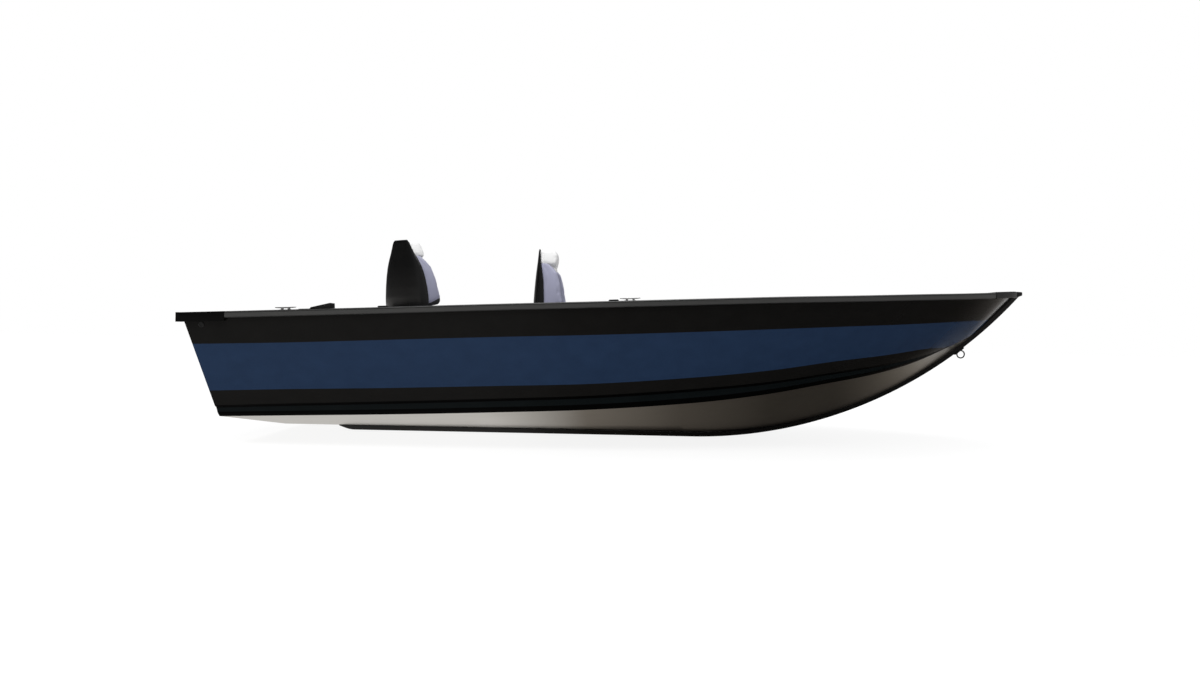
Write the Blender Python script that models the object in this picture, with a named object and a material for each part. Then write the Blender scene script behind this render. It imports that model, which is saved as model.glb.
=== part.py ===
"""An aluminium fishing boat: pressed hull, decked ends with lockers, and two swivelling folding seats.

Lengths are in metres. The boat's own frame has X forward from the stern, Y to port and Z up from the
underside of the keel bar. An empty carries everything, so that the world's origin is on the waterline
amidships.
"""

import math
from collections import namedtuple

import bmesh
import bpy
from mathutils import Matrix, Vector

# Overall frame
MID_X = 2.72
WATERLINE = 0.25
GAP = 0.0003

# Hull shell
SIDE_WALL = 0.020
BOTTOM_WALL = 0.016
SEAM_EDGE = 0.006
CHINE_FLARE = 0.016
RIB_FACE = 0.019
RIB_STEP = 0.031
RIB_LEAN = 0.020
STEPS_PER_STATION = 3

# Keel bar and stem
KEEL_DEPTH = 0.032
KEEL_TOP_HALF = 0.019
KEEL_FOOT_HALF = 0.012
KEEL_AFT_X = 0.58
STEM_START_X = 3.10
STEM_TIP_X = 5.446
STEM_TIP_Z = 1.081
STEM_STEPS = 4
STEM_END_Z = 1.0585

# Transom
TRANSOM_FOOT_X = 0.194
TRANSOM_RAKE = math.radians(13.7)
CHINE_AFT_Z = 0.175
SHEER_AFT_Z = 0.789
TRANSOM_WALL = 0.045
CUTOUT_Z = 0.665
CUTOUT_TOP_HALF = 0.40
CUTOUT_FOOT_HALF = 0.33
CUTOUT_START_X = -0.3
CUTOUT_THROUGH = 0.8
PAD_HALF = 0.20
PAD_HEIGHT = 0.36
PAD_WALL = 0.010

# Gunwale rail, measured inward and down from the sheer line
RAIL_LIP = 0.016
RAIL_LIP_DEPTH = 0.037
RAIL_TOP = 0.008
RAIL_EDGE = 0.004
RAIL_WIDTH = 0.110
RAIL_LEG = 0.012
RAIL_LEG_DEPTH = 0.045
CORNER_LENGTH = 0.27
CORNER_RISE = 0.001
CORNER_OVERHANG = 0.025
CORNER_DEPTH = 0.054
CORNER_ARM = 0.30
CORNER_LEDGE = 0.012
BOW_CAP_X = 4.99
BOW_CAP_RISE = 0.006
BOW_CAP_OUT = 0.004

# Floor, decks and bulkheads
FLOOR_Z = 0.300
DECK_WALL = 0.018
AFT_DECK_Z = 0.580
AFT_DECK_X = 0.850
BOW_DECK_Z = 0.660
BOW_DECK_X = 3.250
BULKHEAD = 0.018
LINER_WALL = 0.012
LINER_CLEAR = 0.055

# Lids and tubs
LID_GAP = 0.005
LID_WALL = 0.016
TUB_WALL = 0.006
TUB_FLANGE = 0.014

# Rod locker on the port side
ROD_LOCKER_X0 = AFT_DECK_X + 0.10
ROD_LOCKER_X1 = BOW_DECK_X - 0.50
ROD_LOCKER_Y0 = 0.56
ROD_LOCKER_FOOT_Y1 = 0.80
ROD_LOCKER_TOP_Y1 = 0.93
ROD_LOCKER_Z = 0.62
ROD_WALL = 0.012

# Fittings on the rails
POD_X = 0.788
POD_WIDTH = 0.075
CLEAT_INWARD = 0.040
BOW_EYE_ANGLE = math.radians(38.05)
BOW_EYE_REACH = 0.050
BOW_EYE_HALF = 0.026
SOCKET_LENGTH = 0.057
SOCKET_WIDTH = 0.050
SOCKET_HEIGHT = 0.010
OUTLET_RADIUS = 0.0175
OUTLET_SHARE = 0.64
OUTLET_Z = 0.722
STERN_EYE_Y = 0.62
STERN_EYE_Z = 0.40

# Seats, in a frame with its origin on the floor under the swivel and X the way the seat faces
SEAT_BASE_R = 0.125
SEAT_BASE_T = 0.012
SEAT_POST_R = 0.036
SEAT_PAN_Z = 0.370
SEAT_PAN_WALL = 0.030
SEAT_PAN_AFT = -0.170
SEAT_PAN_FORE = 0.260
SEAT_PAN_HALF = 0.2148
SEAT_PAD_T = 0.100
SEAT_HINGE_X = -0.150
SEAT_HINGE_RISE = 0.055
SEAT_EAR_T = 0.010
SEAT_EAR_Y = 0.2048
SEAT_LUG_HALF_Z = 0.020
SEAT_BACK_PAD_INSET = 0.004
SEAT_BOLSTER_LEAN = 0.024
SEAT_BOLSTER_WIDTH = 0.055
SEAT_SHELL_EDGE = 0.003
SEAT_SHELL_SQUARE = 0.6
SEAT_SHELL_STEPS = 10

Seat = namedtuple("Seat", "name x y turn recline")
SEATS = (
    Seat("seat_front", 2.285, 0.03, math.radians(-3.0), 0.0),
    Seat("seat_rear", 1.306, -0.234, math.radians(56.0), math.radians(5.0)),
)


def transom_x(z):
    """The transom's outer face leans back as it rises."""
    return TRANSOM_FOOT_X - (z - KEEL_DEPTH) * math.tan(TRANSOM_RAKE)


# The hull's table of offsets. At each station the keel, chine and sheer have their own x, because the bow
# rakes. rib is the height of the pressed step above the chine, and low and high are the painted band's edges.
Station = namedtuple("Station", "keel_x chine_x chine_y chine_z sheer_x sheer_y sheer_z rib low high")
OFFSETS = (
    Station(
        TRANSOM_FOOT_X,
        transom_x(CHINE_AFT_Z), 0.925, CHINE_AFT_Z,
        transom_x(SHEER_AFT_Z), 1.125, SHEER_AFT_Z,
        0.060, 0.332, 0.608,
    ),
    Station(0.60, 0.60, 0.950, 0.191, 0.60, 1.148, 0.815, 0.066, 0.352, 0.627),
    Station(1.20, 1.20, 0.965, 0.211, 1.20, 1.168, 0.842, 0.072, 0.372, 0.655),
    Station(1.80, 1.80, 0.970, 0.235, 1.80, 1.178, 0.871, 0.076, 0.396, 0.683),
    Station(2.40, 2.40, 0.955, 0.263, 2.40, 1.180, 0.898, 0.078, 0.421, 0.708),
    Station(3.00, 3.00, 0.890, 0.309, 3.00, 1.168, 0.926, 0.080, 0.468, 0.738),
    Station(3.45, 3.45, 0.790, 0.362, 3.50, 1.130, 0.950, 0.073, 0.516, 0.765),
    Station(3.85, 3.85, 0.650, 0.427, 3.95, 1.052, 0.970, 0.065, 0.574, 0.790),
    Station(4.22, 4.22, 0.500, 0.490, 4.35, 0.925, 0.992, 0.057, 0.618, 0.812),
    Station(4.55, 4.55, 0.325, 0.569, 4.70, 0.755, 1.013, 0.040, 0.662, 0.835),
    Station(4.83, 4.83, 0.175, 0.670, 5.00, 0.540, 1.036, 0.012, 0.680, 0.855),
    Station(5.02, 5.02, 0.078, 0.745, 5.22, 0.320, 1.056, 0.008, 0.754, 0.868),
    Station(5.112, 5.126, 0.012, 0.806, 5.385, 0.034, 1.072, 0.005, 0.812, 0.880),
)

STEM_RADIUS = ((STEM_TIP_X - STEM_START_X) ** 2 + STEM_TIP_Z**2) / (2 * STEM_TIP_Z)


def keel_z(x, depth=KEEL_DEPTH):
    """Height of the keel line, level aft and then an arc up to the stem's tip."""
    if x <= STEM_START_X:
        return depth
    return STEM_RADIUS - math.sqrt((STEM_RADIUS - depth) ** 2 - (x - STEM_START_X) ** 2)


def catmull_rom(before, start, end, after, t):
    """The value a share t of the way from start to end, smooth through all four."""
    linear = end - before
    square = 2 * before - 5 * start + 4 * end - after
    cube = 3 * start - before - 3 * end + after
    return start + 0.5 * t * (linear + t * (square + t * cube))


def station_at(place):
    """The hull at a place counted in stations, such as 2.5 for halfway between the third and the fourth."""
    last = len(OFFSETS) - 1
    index = min(max(int(place), 0), last - 1)
    t = place - index
    rows = [OFFSETS[min(max(index + step, 0), last)] for step in (-1, 0, 1, 2)]
    return Station(*(catmull_rom(*values, t) for values in zip(*rows)))


PLACES = [i / STEPS_PER_STATION for i in range((len(OFFSETS) - 1) * STEPS_PER_STATION + 1)]


def plan_normal(place, line):
    """The outward horizontal direction of the chine or the sheer."""
    step = 0.25
    near = station_at(max(place - step, 0))
    far = station_at(min(place + step, len(OFFSETS) - 1))
    if line == "chine":
        along = Vector((far.chine_x - near.chine_x, far.chine_y - near.chine_y, 0))
    else:
        along = Vector((far.sheer_x - near.sheer_x, far.sheer_y - near.sheer_y, 0))
    return Vector((-along.y, along.x, 0)).normalized()


def chine_point(place, out=0.0, up=0.0):
    station = station_at(place)
    point = Vector((station.chine_x, station.chine_y, station.chine_z + up))
    return point + plan_normal(place, "chine") * out


def sheer_point(place, inward=0.0, down=0.0):
    station = station_at(place)
    point = Vector((station.sheer_x, station.sheer_y, station.sheer_z - down))
    return point - plan_normal(place, "sheer") * inward


def on_line(start, end, z):
    """The point at height z on the straight line from start to end."""
    return start.lerp(end, (z - start.z) / (end.z - start.z))


def place_of_sheer(x):
    """The place whose sheer point is at x."""
    low, high = 0.0, len(OFFSETS) - 1.0
    for _ in range(40):
        middle = (low + high) / 2
        if station_at(middle).sheer_x < x:
            low = middle
        else:
            high = middle
    return low


def mirrored(points):
    return [Vector((p.x, -p.y, p.z)) for p in points]


# Scene and object helpers

for existing in list(bpy.data.objects):
    bpy.data.objects.remove(existing, do_unlink=True)

boat = bpy.data.objects.new("boat", None)
bpy.context.collection.objects.link(boat)
boat.location = (-MID_X, 0, -WATERLINE)

MATERIALS = {}


def material(name, color, roughness, metallic=0.0):
    made = bpy.data.materials.new(name)
    made.use_nodes = True
    shader = made.node_tree.nodes["Principled BSDF"]
    shader.inputs["Base Color"].default_value = (*color, 1)
    shader.inputs["Roughness"].default_value = roughness
    shader.inputs["Metallic"].default_value = metallic
    made.diffuse_color = (*color, 1)
    MATERIALS[name] = made


material("hull_paint", (0.008, 0.008, 0.007), 0.30)
material("bare_aluminium", (0.60, 0.60, 0.58), 0.35, 1.0)
material("black_trim", (0.012, 0.012, 0.012), 0.45)
material("rail_gray", (0.09, 0.09, 0.09), 0.40, 0.5)
material("deck_vinyl", (0.16, 0.16, 0.17), 0.80)
material("liner_gray", (0.22, 0.22, 0.24), 0.60)
material("tub_plastic", (0.55, 0.55, 0.54), 0.55)
material("seat_shell", (0.014, 0.014, 0.015), 0.45)
material("seat_vinyl", (0.38, 0.38, 0.42), 0.55)
material("polished_metal", (0.75, 0.75, 0.76), 0.15, 1.0)


def add_object(name, bm, slot, parent=boat, matrix=None):
    """A named object from a bmesh, with its normals out and its own material."""
    bmesh.ops.remove_doubles(bm, verts=bm.verts, dist=0.00001)
    bmesh.ops.recalc_face_normals(bm, faces=bm.faces)
    mesh = bpy.data.meshes.new(name)
    bm.to_mesh(mesh)
    bm.free()
    mesh.materials.append(MATERIALS[slot])
    mesh.shade_smooth()
    mesh.set_sharp_from_angle(angle=math.radians(30))
    made = bpy.data.objects.new(name, mesh)
    bpy.context.collection.objects.link(made)
    made.parent = parent
    if matrix is not None:
        made.matrix_local = matrix
    return made


def loft(rings, bm=None):
    """A closed body through rings of equally many points, each quad cut along its shorter diagonal."""
    bm = bm or bmesh.new()
    rows = [[bm.verts.new(point) for point in ring] for ring in rings]
    count = len(rows[0])
    for near, far in zip(rows, rows[1:]):
        for i in range(count):
            j = (i + 1) % count
            if (near[i].co - far[j].co).length <= (near[j].co - far[i].co).length:
                bm.faces.new((near[i], near[j], far[j]))
                bm.faces.new((near[i], far[j], far[i]))
            else:
                bm.faces.new((near[i], near[j], far[i]))
                bm.faces.new((near[j], far[j], far[i]))
    bm.faces.new(list(reversed(rows[0])))
    bm.faces.new(rows[-1])
    return bm


def prism(outline, direction, bm=None):
    """A flat outline pushed along a direction."""
    direction = Vector(direction)
    points = [Vector(point) for point in outline]
    return loft([points, [point + direction for point in points]], bm)


def block(x0, x1, y0, y1, z0, z1, bm=None):
    outline = [(x0, y0, z0), (x1, y0, z0), (x1, y1, z0), (x0, y1, z0)]
    return prism(outline, (0, 0, z1 - z0), bm)


def rounded_outline(x0, x1, y0, y1, z, radius, steps=3):
    """A rectangle with round corners, level at z."""
    corners = ((x1, y1, 0), (x0, y1, 90), (x0, y0, 180), (x1, y0, 270))
    points = []
    for x, y, start in corners:
        centre_x = x - math.copysign(radius, x - (x0 + x1) / 2)
        centre_y = y - math.copysign(radius, y - (y0 + y1) / 2)
        for i in range(steps + 1):
            angle = math.radians(start + 90 * i / steps)
            x = centre_x + radius * math.cos(angle)
            y = centre_y + radius * math.sin(angle)
            points.append(Vector((x, y, z)))
    return points


def rounded_block(x0, x1, y0, y1, z0, z1, radius, steps=3, bm=None):
    return prism(rounded_outline(x0, x1, y0, y1, z0, radius, steps), (0, 0, z1 - z0), bm)


def turned(profile, steps=20, bm=None):
    """A body of revolution about Z from (radius, height) pairs, bottom to top."""
    rings = []
    for radius, z in profile:
        ring = []
        for i in range(steps):
            angle = 2 * math.pi * i / steps
            ring.append(Vector((radius * math.cos(angle), radius * math.sin(angle), z)))
        rings.append(ring)
    return loft(rings, bm)


def tool(name, bm):
    """A hidden helper for a Boolean."""
    bmesh.ops.recalc_face_normals(bm, faces=bm.faces)
    mesh = bpy.data.meshes.new(name)
    bm.to_mesh(mesh)
    bm.free()
    made = bpy.data.objects.new(name, mesh)
    bpy.context.collection.objects.link(made)
    made.parent = boat
    made.hide_render = True
    made.display_type = "WIRE"
    return made


def combine(target, other, operation):
    modifier = target.modifiers.new(operation.lower(), "BOOLEAN")
    modifier.operation = operation
    modifier.object = other
    return target


# Hull


def flared(place, out, up):
    """A point a height up from the chine, out from the plain side that rises to the rail."""
    edge = chine_point(place)
    top = sheer_point(place, RAIL_LIP + GAP, RAIL_TOP + GAP)
    return on_line(edge, top, edge.z + up) + plan_normal(place, "chine") * out


def side_ring(place):
    """One section of the side: seam, pressed rib, painted panel, top edge, and the plain inside."""
    station = station_at(place)
    swell = station.rib / max(row.rib for row in OFFSETS)
    top = sheer_point(place, RAIL_LIP + GAP, RAIL_TOP + GAP)
    top_in = sheer_point(place, RAIL_LIP + GAP + SIDE_WALL, RAIL_TOP + GAP)
    step = (RIB_STEP - RIB_LEAN) * swell
    foot = flared(place, SEAM_EDGE + step, station.rib * 1.06)
    return [
        chine_point(place, GAP),
        chine_point(place, SEAM_EDGE),
        flared(place, SEAM_EDGE + (CHINE_FLARE - RIB_LEAN / 3) * swell, station.rib * 0.35),
        flared(place, SEAM_EDGE + (RIB_FACE - RIB_LEAN) * swell, station.rib * 0.94),
        foot,
        on_line(foot, top, station.low),
        on_line(foot, top, station.high),
        top,
        top_in,
        chine_point(place, GAP, BOTTOM_WALL + 2 * GAP),
    ]


def bottom_ring(place):
    """One section of the V bottom, from chine to chine."""
    station = station_at(place)
    keel = Vector((station.keel_x, 0, keel_z(station.keel_x)))
    edge = chine_point(place)
    lift = Vector((0, 0, BOTTOM_WALL))
    (edge_port,) = mirrored([edge])
    return [keel, edge, edge + lift, keel + lift, edge_port + lift, edge_port]


def form_ring(place):
    """One section of the space inside the shell, which trims the floor, decks and bulkheads."""
    station = station_at(place)
    keel = Vector((station.keel_x, 0, keel_z(station.keel_x) + BOTTOM_WALL + GAP))
    edge = chine_point(place, -GAP, BOTTOM_WALL + 2 * GAP)
    top = sheer_point(place, RAIL_LIP + SIDE_WALL + 3 * GAP, RAIL_TOP + GAP)
    edge_far, top_far = mirrored([edge, top])
    return [keel, edge, top, top_far, edge_far]


def inside_y(place, z):
    """Half the width of the space inside the shell, at height z."""
    keel, edge, top, *_ = form_ring(place)
    lower = on_line(keel, edge, z)
    return lower.y if z < edge.z else on_line(edge, top, z).y


def add_hull():
    port = [side_ring(place) for place in PLACES]
    add_object("hull_side_port", loft(port), "hull_paint")
    add_object("hull_side_starboard", loft([mirrored(ring) for ring in port]), "hull_paint")
    add_object("hull_bottom", loft([bottom_ring(place) for place in PLACES]), "bare_aluminium")


def add_keel():
    """The black bar under the keel and up the stem, with a rounded start aft."""
    rings = []

    def ring(x, z, angle, depth):
        out = Vector((math.sin(angle), 0, -math.cos(angle)))
        base = Vector((x, 0, z)) + out * GAP
        tip = base + out * depth
        rings.append([
            base + Vector((0, KEEL_TOP_HALF, 0)),
            base + Vector((0, -KEEL_TOP_HALF, 0)),
            tip + Vector((0, -KEEL_FOOT_HALF, 0)),
            tip + Vector((0, KEEL_FOOT_HALF, 0)),
        ])

    full = KEEL_DEPTH - GAP
    for along, share in ((0.0, 0.15), (0.03, 0.45), (0.07, 0.80), (0.11, 1.0)):
        ring(KEEL_AFT_X + along, KEEL_DEPTH, 0.0, full * share)
    hull_radius = STEM_RADIUS - KEEL_DEPTH
    angles = []
    for place in PLACES:
        reach = station_at(place).keel_x - STEM_START_X
        if reach > 0:
            angles.append(math.asin(reach / hull_radius))
    ring(STEM_START_X, KEEL_DEPTH, 0.0, full)
    tip_angle = math.acos((STEM_RADIUS - STEM_END_Z + full) / hull_radius)
    last = angles[-1]
    angles += [last + (tip_angle - last) * i / STEM_STEPS for i in range(1, STEM_STEPS + 1)]
    for angle in angles:
        x = STEM_START_X + hull_radius * math.sin(angle)
        z = STEM_RADIUS - hull_radius * math.cos(angle)
        ring(x, z, angle, full)
    ends = []
    for radius, half in ((hull_radius + GAP, KEEL_TOP_HALF), (STEM_RADIUS, KEEL_FOOT_HALF)):
        reach = math.sqrt(radius**2 - (STEM_RADIUS - STEM_END_Z) ** 2)
        ends.append(Vector((STEM_START_X + reach, half, STEM_END_Z)))
    base, tip = ends
    rings.append([base, *mirrored([base, tip]), tip])
    add_object("keel_bar", loft(rings), "black_trim")


def add_transom():
    """A raked slab inside the shell's end, with the motor's cut-out, and a plate for the motor's clamps."""
    lean = Vector((-math.tan(TRANSOM_RAKE), 0, 1)) * (OFFSETS[0].sheer_z - RAIL_TOP - GAP)
    reach = 1.3
    foot = Vector((TRANSOM_FOOT_X + KEEL_DEPTH * math.tan(TRANSOM_RAKE), 0, 0))
    wide = Vector((0, reach, 0))
    outline = [foot - wide, foot + wide, foot + wide + lean, foot - wide + lean]
    slab = add_object("transom", prism(outline, (TRANSOM_WALL, 0, 0)), "hull_paint")
    combine(slab, form, "INTERSECT")
    top = 1.0
    slope = (CUTOUT_TOP_HALF - CUTOUT_FOOT_HALF) / (OFFSETS[0].sheer_z - CUTOUT_Z)
    spread = CUTOUT_FOOT_HALF + slope * (top - CUTOUT_Z)
    notch = [
        (CUTOUT_START_X, -CUTOUT_FOOT_HALF, CUTOUT_Z),
        (CUTOUT_START_X, CUTOUT_FOOT_HALF, CUTOUT_Z),
        (CUTOUT_START_X, spread, top),
        (CUTOUT_START_X, -spread, top),
    ]
    combine(slab, tool("motor_notch", prism(notch, (CUTOUT_THROUGH, 0, 0))), "DIFFERENCE")
    out = Vector((-GAP, 0, 0))
    low = CUTOUT_Z - PAD_HEIGHT
    high = CUTOUT_Z - 0.004
    face = [
        Vector((transom_x(low), -PAD_HALF, low)) + out,
        Vector((transom_x(low), PAD_HALF, low)) + out,
        Vector((transom_x(high), PAD_HALF, high)) + out,
        Vector((transom_x(high), -PAD_HALF, high)) + out,
    ]
    add_object("motor_pad", prism(face, (-PAD_WALL, 0, 0)), "black_trim")


def rail_ring(place):
    """The gunwale rail's section: an outer lip over the side, a top, and an inner leg."""
    section = (
        (0.0, RAIL_EDGE),
        (RAIL_EDGE, 0.0),
        (RAIL_WIDTH - RAIL_EDGE, 0.0),
        (RAIL_WIDTH, RAIL_EDGE),
        (RAIL_WIDTH, RAIL_LEG_DEPTH),
        (RAIL_WIDTH - RAIL_LEG, RAIL_LEG_DEPTH),
        (RAIL_WIDTH - RAIL_LEG, RAIL_TOP),
        (RAIL_LIP, RAIL_TOP),
        (RAIL_LIP, RAIL_LIP_DEPTH),
        (0.0, RAIL_LIP_DEPTH),
    )
    return [sheer_point(place, inward, down) for inward, down in section]


def corner_ring(place):
    """The black corner cap's section: a top plate and an outer lip, grown a little past the rail."""
    section = (
        (-CORNER_RISE, -CORNER_RISE),
        (RAIL_WIDTH, -CORNER_RISE),
        (RAIL_WIDTH, RAIL_TOP),
        (RAIL_LIP, RAIL_TOP),
        (RAIL_LIP, CORNER_DEPTH),
        (-CORNER_RISE, CORNER_DEPTH),
    )
    return [sheer_point(place, inward, down) for inward, down in section]


def add_gunwales():
    start = place_of_sheer(CORNER_LENGTH)
    end = place_of_sheer(BOW_CAP_X)
    places = [start, *[place for place in PLACES if start + 0.1 < place < end - 0.1], end]
    port = [rail_ring(place) for place in places]
    add_object("gunwale_port", loft(port), "rail_gray")
    add_object("gunwale_starboard", loft([mirrored(ring) for ring in port]), "rail_gray")
    before = place_of_sheer(CORNER_LENGTH - GAP)
    corner = [corner_ring(place) for place in (0.0, before)]
    corner.insert(0, [point - Vector((CORNER_OVERHANG, 0, 0)) for point in corner[0]])
    for side, rings in (("port", corner), ("starboard", [mirrored(ring) for ring in corner])):
        sign = 1 if side == "port" else -1
        cap = add_object("corner_cap_" + side, loft(rings), "black_trim")
        inner = sign * (OFFSETS[0].sheer_y - RAIL_LIP - 0.02)
        outer = sign * (OFFSETS[0].sheer_y - CORNER_ARM)
        low = OFFSETS[0].sheer_z - RAIL_TOP
        aft = transom_x(low) - CORNER_OVERHANG
        fore = transom_x(low) + TRANSOM_WALL + CORNER_LEDGE
        top = OFFSETS[0].sheer_z + CORNER_RISE
        arm = block(aft, fore, min(inner, outer), max(inner, outer), low, top)
        combine(cap, tool("corner_arm_" + side, arm), "UNION")


def bow_cap_ring(place, lip, forward=0.0, narrow=1.0):
    """A section of the bow cap, from the starboard lip over the top to the port one."""
    section = (
        (RAIL_LIP + SIDE_WALL + 3 * GAP, RAIL_TOP),
        (RAIL_LIP, RAIL_TOP),
        (RAIL_LIP, lip),
        (-BOW_CAP_OUT, lip),
        (-BOW_CAP_OUT, -BOW_CAP_RISE),
    )
    port = [sheer_point(place, inward, down) for inward, down in section]
    port = [Vector((p.x + forward, p.y * narrow, p.z)) for p in port]
    return port + list(reversed(mirrored(port)))


def add_bow_cap():
    """A plate over the point of the bow, between the ends of the two rails."""
    start = place_of_sheer(BOW_CAP_X + GAP)
    last = len(OFFSETS) - 1
    places = [start, *[place for place in PLACES if place > start + 0.1]]
    rings = [bow_cap_ring(place, RAIL_LIP_DEPTH) for place in places]
    nose = STEM_TIP_X - rings[-1][4].x
    rings.append(bow_cap_ring(last, RAIL_TOP + 0.004, nose, 0.6))
    add_object("bow_cap", loft(rings), "black_trim")


# Inside


def trimmed(name, bm, slot):
    return combine(add_object(name, bm, slot), form, "INTERSECT")


Hatch = namedtuple("Hatch", "name x0 x1 y0 y1 deck_z floor_z hinge")
HATCHES = (
    Hatch("bow_storage_port", 3.42, 3.94, 0.05, 0.50, BOW_DECK_Z, 0.440, "fore"),
    Hatch("bow_storage_starboard", 3.42, 3.94, -0.50, -0.05, BOW_DECK_Z, 0.440, "fore"),
    Hatch("livewell", 0.26, 0.68, -0.28, 0.28, AFT_DECK_Z, 0.260, "aft"),
    Hatch("aft_storage_port", 0.26, 0.68, 0.36, 0.78, AFT_DECK_Z, 0.260, "aft"),
    Hatch("aft_storage_starboard", 0.26, 0.68, -0.78, -0.36, AFT_DECK_Z, 0.260, "aft"),
)


def add_floor_and_decks():
    floor = block(AFT_DECK_X + GAP, BOW_DECK_X - GAP, -2, 2, FLOOR_Z - DECK_WALL, FLOOR_Z)
    trimmed("cockpit_floor", floor, "deck_vinyl")
    aft_top = AFT_DECK_Z - DECK_WALL - GAP
    trimmed("aft_bulkhead", block(AFT_DECK_X - BULKHEAD, AFT_DECK_X, -2, 2, 0, aft_top), "liner_gray")
    bow_top = BOW_DECK_Z - DECK_WALL - GAP
    trimmed("bow_bulkhead", block(BOW_DECK_X, BOW_DECK_X + BULKHEAD, -2, 2, 0, bow_top), "liner_gray")
    lean = TRANSOM_WALL + GAP
    low = AFT_DECK_Z - DECK_WALL
    outline = [
        (transom_x(low) + lean, -2, low),
        (AFT_DECK_X, -2, low),
        (AFT_DECK_X, -2, AFT_DECK_Z),
        (transom_x(AFT_DECK_Z) + lean, -2, AFT_DECK_Z),
    ]
    aft_deck = trimmed("aft_deck", prism(outline, (0, 4, 0)), "deck_vinyl")
    planks = block(BOW_DECK_X, 6, -2, 2, BOW_DECK_Z - DECK_WALL, BOW_DECK_Z)
    bow_deck = trimmed("bow_deck", planks, "deck_vinyl")
    for hatch in HATCHES:
        deck = bow_deck if hatch.deck_z == BOW_DECK_Z else aft_deck
        cutter = block(hatch.x0, hatch.x1, hatch.y0, hatch.y1, hatch.deck_z - 0.1, hatch.deck_z + 0.1)
        combine(deck, tool(hatch.name + "_cut", cutter), "DIFFERENCE")


def add_hatches():
    """A tub that hangs from its flange under each opening, and a lid that lies flush in it."""
    for hatch in HATCHES:
        top = hatch.deck_z - DECK_WALL - GAP
        rim = TUB_FLANGE
        tub = block(hatch.x0 - rim, hatch.x1 + rim, hatch.y0 - rim, hatch.y1 + rim, top - TUB_WALL, top)
        well = block(hatch.x0, hatch.x1, hatch.y0, hatch.y1, hatch.floor_z, top - TUB_WALL / 2)
        made = add_object(hatch.name + "_tub", tub, "tub_plastic")
        combine(made, tool(hatch.name + "_well", well), "UNION")
        wall = TUB_WALL
        hollow = block(
            hatch.x0 + wall, hatch.x1 - wall,
            hatch.y0 + wall, hatch.y1 - wall,
            hatch.floor_z + wall, top + 0.1,
        )
        combine(made, tool(hatch.name + "_hollow", hollow), "DIFFERENCE")
        lid = block(
            hatch.x0 + LID_GAP,
            hatch.x1 - LID_GAP,
            hatch.y0 + LID_GAP,
            hatch.y1 - LID_GAP,
            hatch.deck_z - DECK_WALL,
            hatch.deck_z,
        )
        axis = lid_axis(hatch)
        add_object(hatch.name + "_lid", shifted(lid, axis), "deck_vinyl", boat, Matrix.Translation(axis))


def shifted(bm, origin):
    """The same shape measured from a new origin."""
    bmesh.ops.translate(bm, verts=bm.verts, vec=-Vector(origin))
    return bm


def lid_axis(hatch):
    """A lid turns about its top edge, on the side that its hinge is."""
    x = hatch.x0 + LID_GAP if hatch.hinge == "aft" else hatch.x1 - LID_GAP
    return Vector((x, (hatch.y0 + hatch.y1) / 2, hatch.deck_z))


def add_liners():
    """The cockpit's side panels, from under the rails down to the floor."""
    first = place_of_sheer(AFT_DECK_X + GAP)
    last = place_of_sheer(BOW_DECK_X - GAP)
    places = [first, *[place for place in PLACES if first + 0.1 < place < last - 0.1], last]
    rings = []
    for place in places:
        top = sheer_point(place, RAIL_WIDTH - RAIL_LEG, RAIL_LEG_DEPTH + GAP)
        top_in = sheer_point(place, RAIL_WIDTH, RAIL_LEG_DEPTH + GAP)
        foot = Vector((top.x, inside_y(place, FLOOR_Z) - LINER_CLEAR, FLOOR_Z + GAP))
        foot_in = foot - Vector((0, LINER_WALL, 0))
        rings.append([top, Vector((top.x, top_in.y, top_in.z)), foot_in, foot])
    add_object("side_liner_port", loft(rings), "liner_gray")
    add_object("side_liner_starboard", loft([mirrored(ring) for ring in rings]), "liner_gray")


def add_rod_locker():
    """A long open-topped box along the port side, and its lid, hinged outboard."""
    x0, x1, y0, y1 = ROD_LOCKER_X0, ROD_LOCKER_X1, ROD_LOCKER_Y0, ROD_LOCKER_TOP_Y1
    top = ROD_LOCKER_Z - LID_WALL - GAP
    wall = ROD_WALL
    outside = [
        (x0, y0, FLOOR_Z + GAP),
        (x0, ROD_LOCKER_FOOT_Y1, FLOOR_Z + GAP),
        (x0, y1, top),
        (x0, y0, top),
    ]
    box = add_object("rod_locker", prism(outside, (x1 - x0, 0, 0)), "liner_gray")
    inside = [
        (x0 + wall, y0 + wall, FLOOR_Z + wall),
        (x0 + wall, ROD_LOCKER_FOOT_Y1 - wall, FLOOR_Z + wall),
        (x0 + wall, y1 - wall, top),
        (x0 + wall, y1 - wall, top + 0.1),
        (x0 + wall, y0 + wall, top + 0.1),
    ]
    hollow = prism(inside, (x1 - x0 - 2 * wall, 0, 0))
    combine(box, tool("rod_locker_hollow", hollow), "DIFFERENCE")
    axis = Vector(((x0 + x1) / 2, y1, ROD_LOCKER_Z))
    lid = block(x0, x1, y0, y1, ROD_LOCKER_Z - LID_WALL, ROD_LOCKER_Z)
    add_object("rod_locker_lid", shifted(lid, axis), "deck_vinyl", boat, Matrix.Translation(axis))


# Seats

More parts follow.
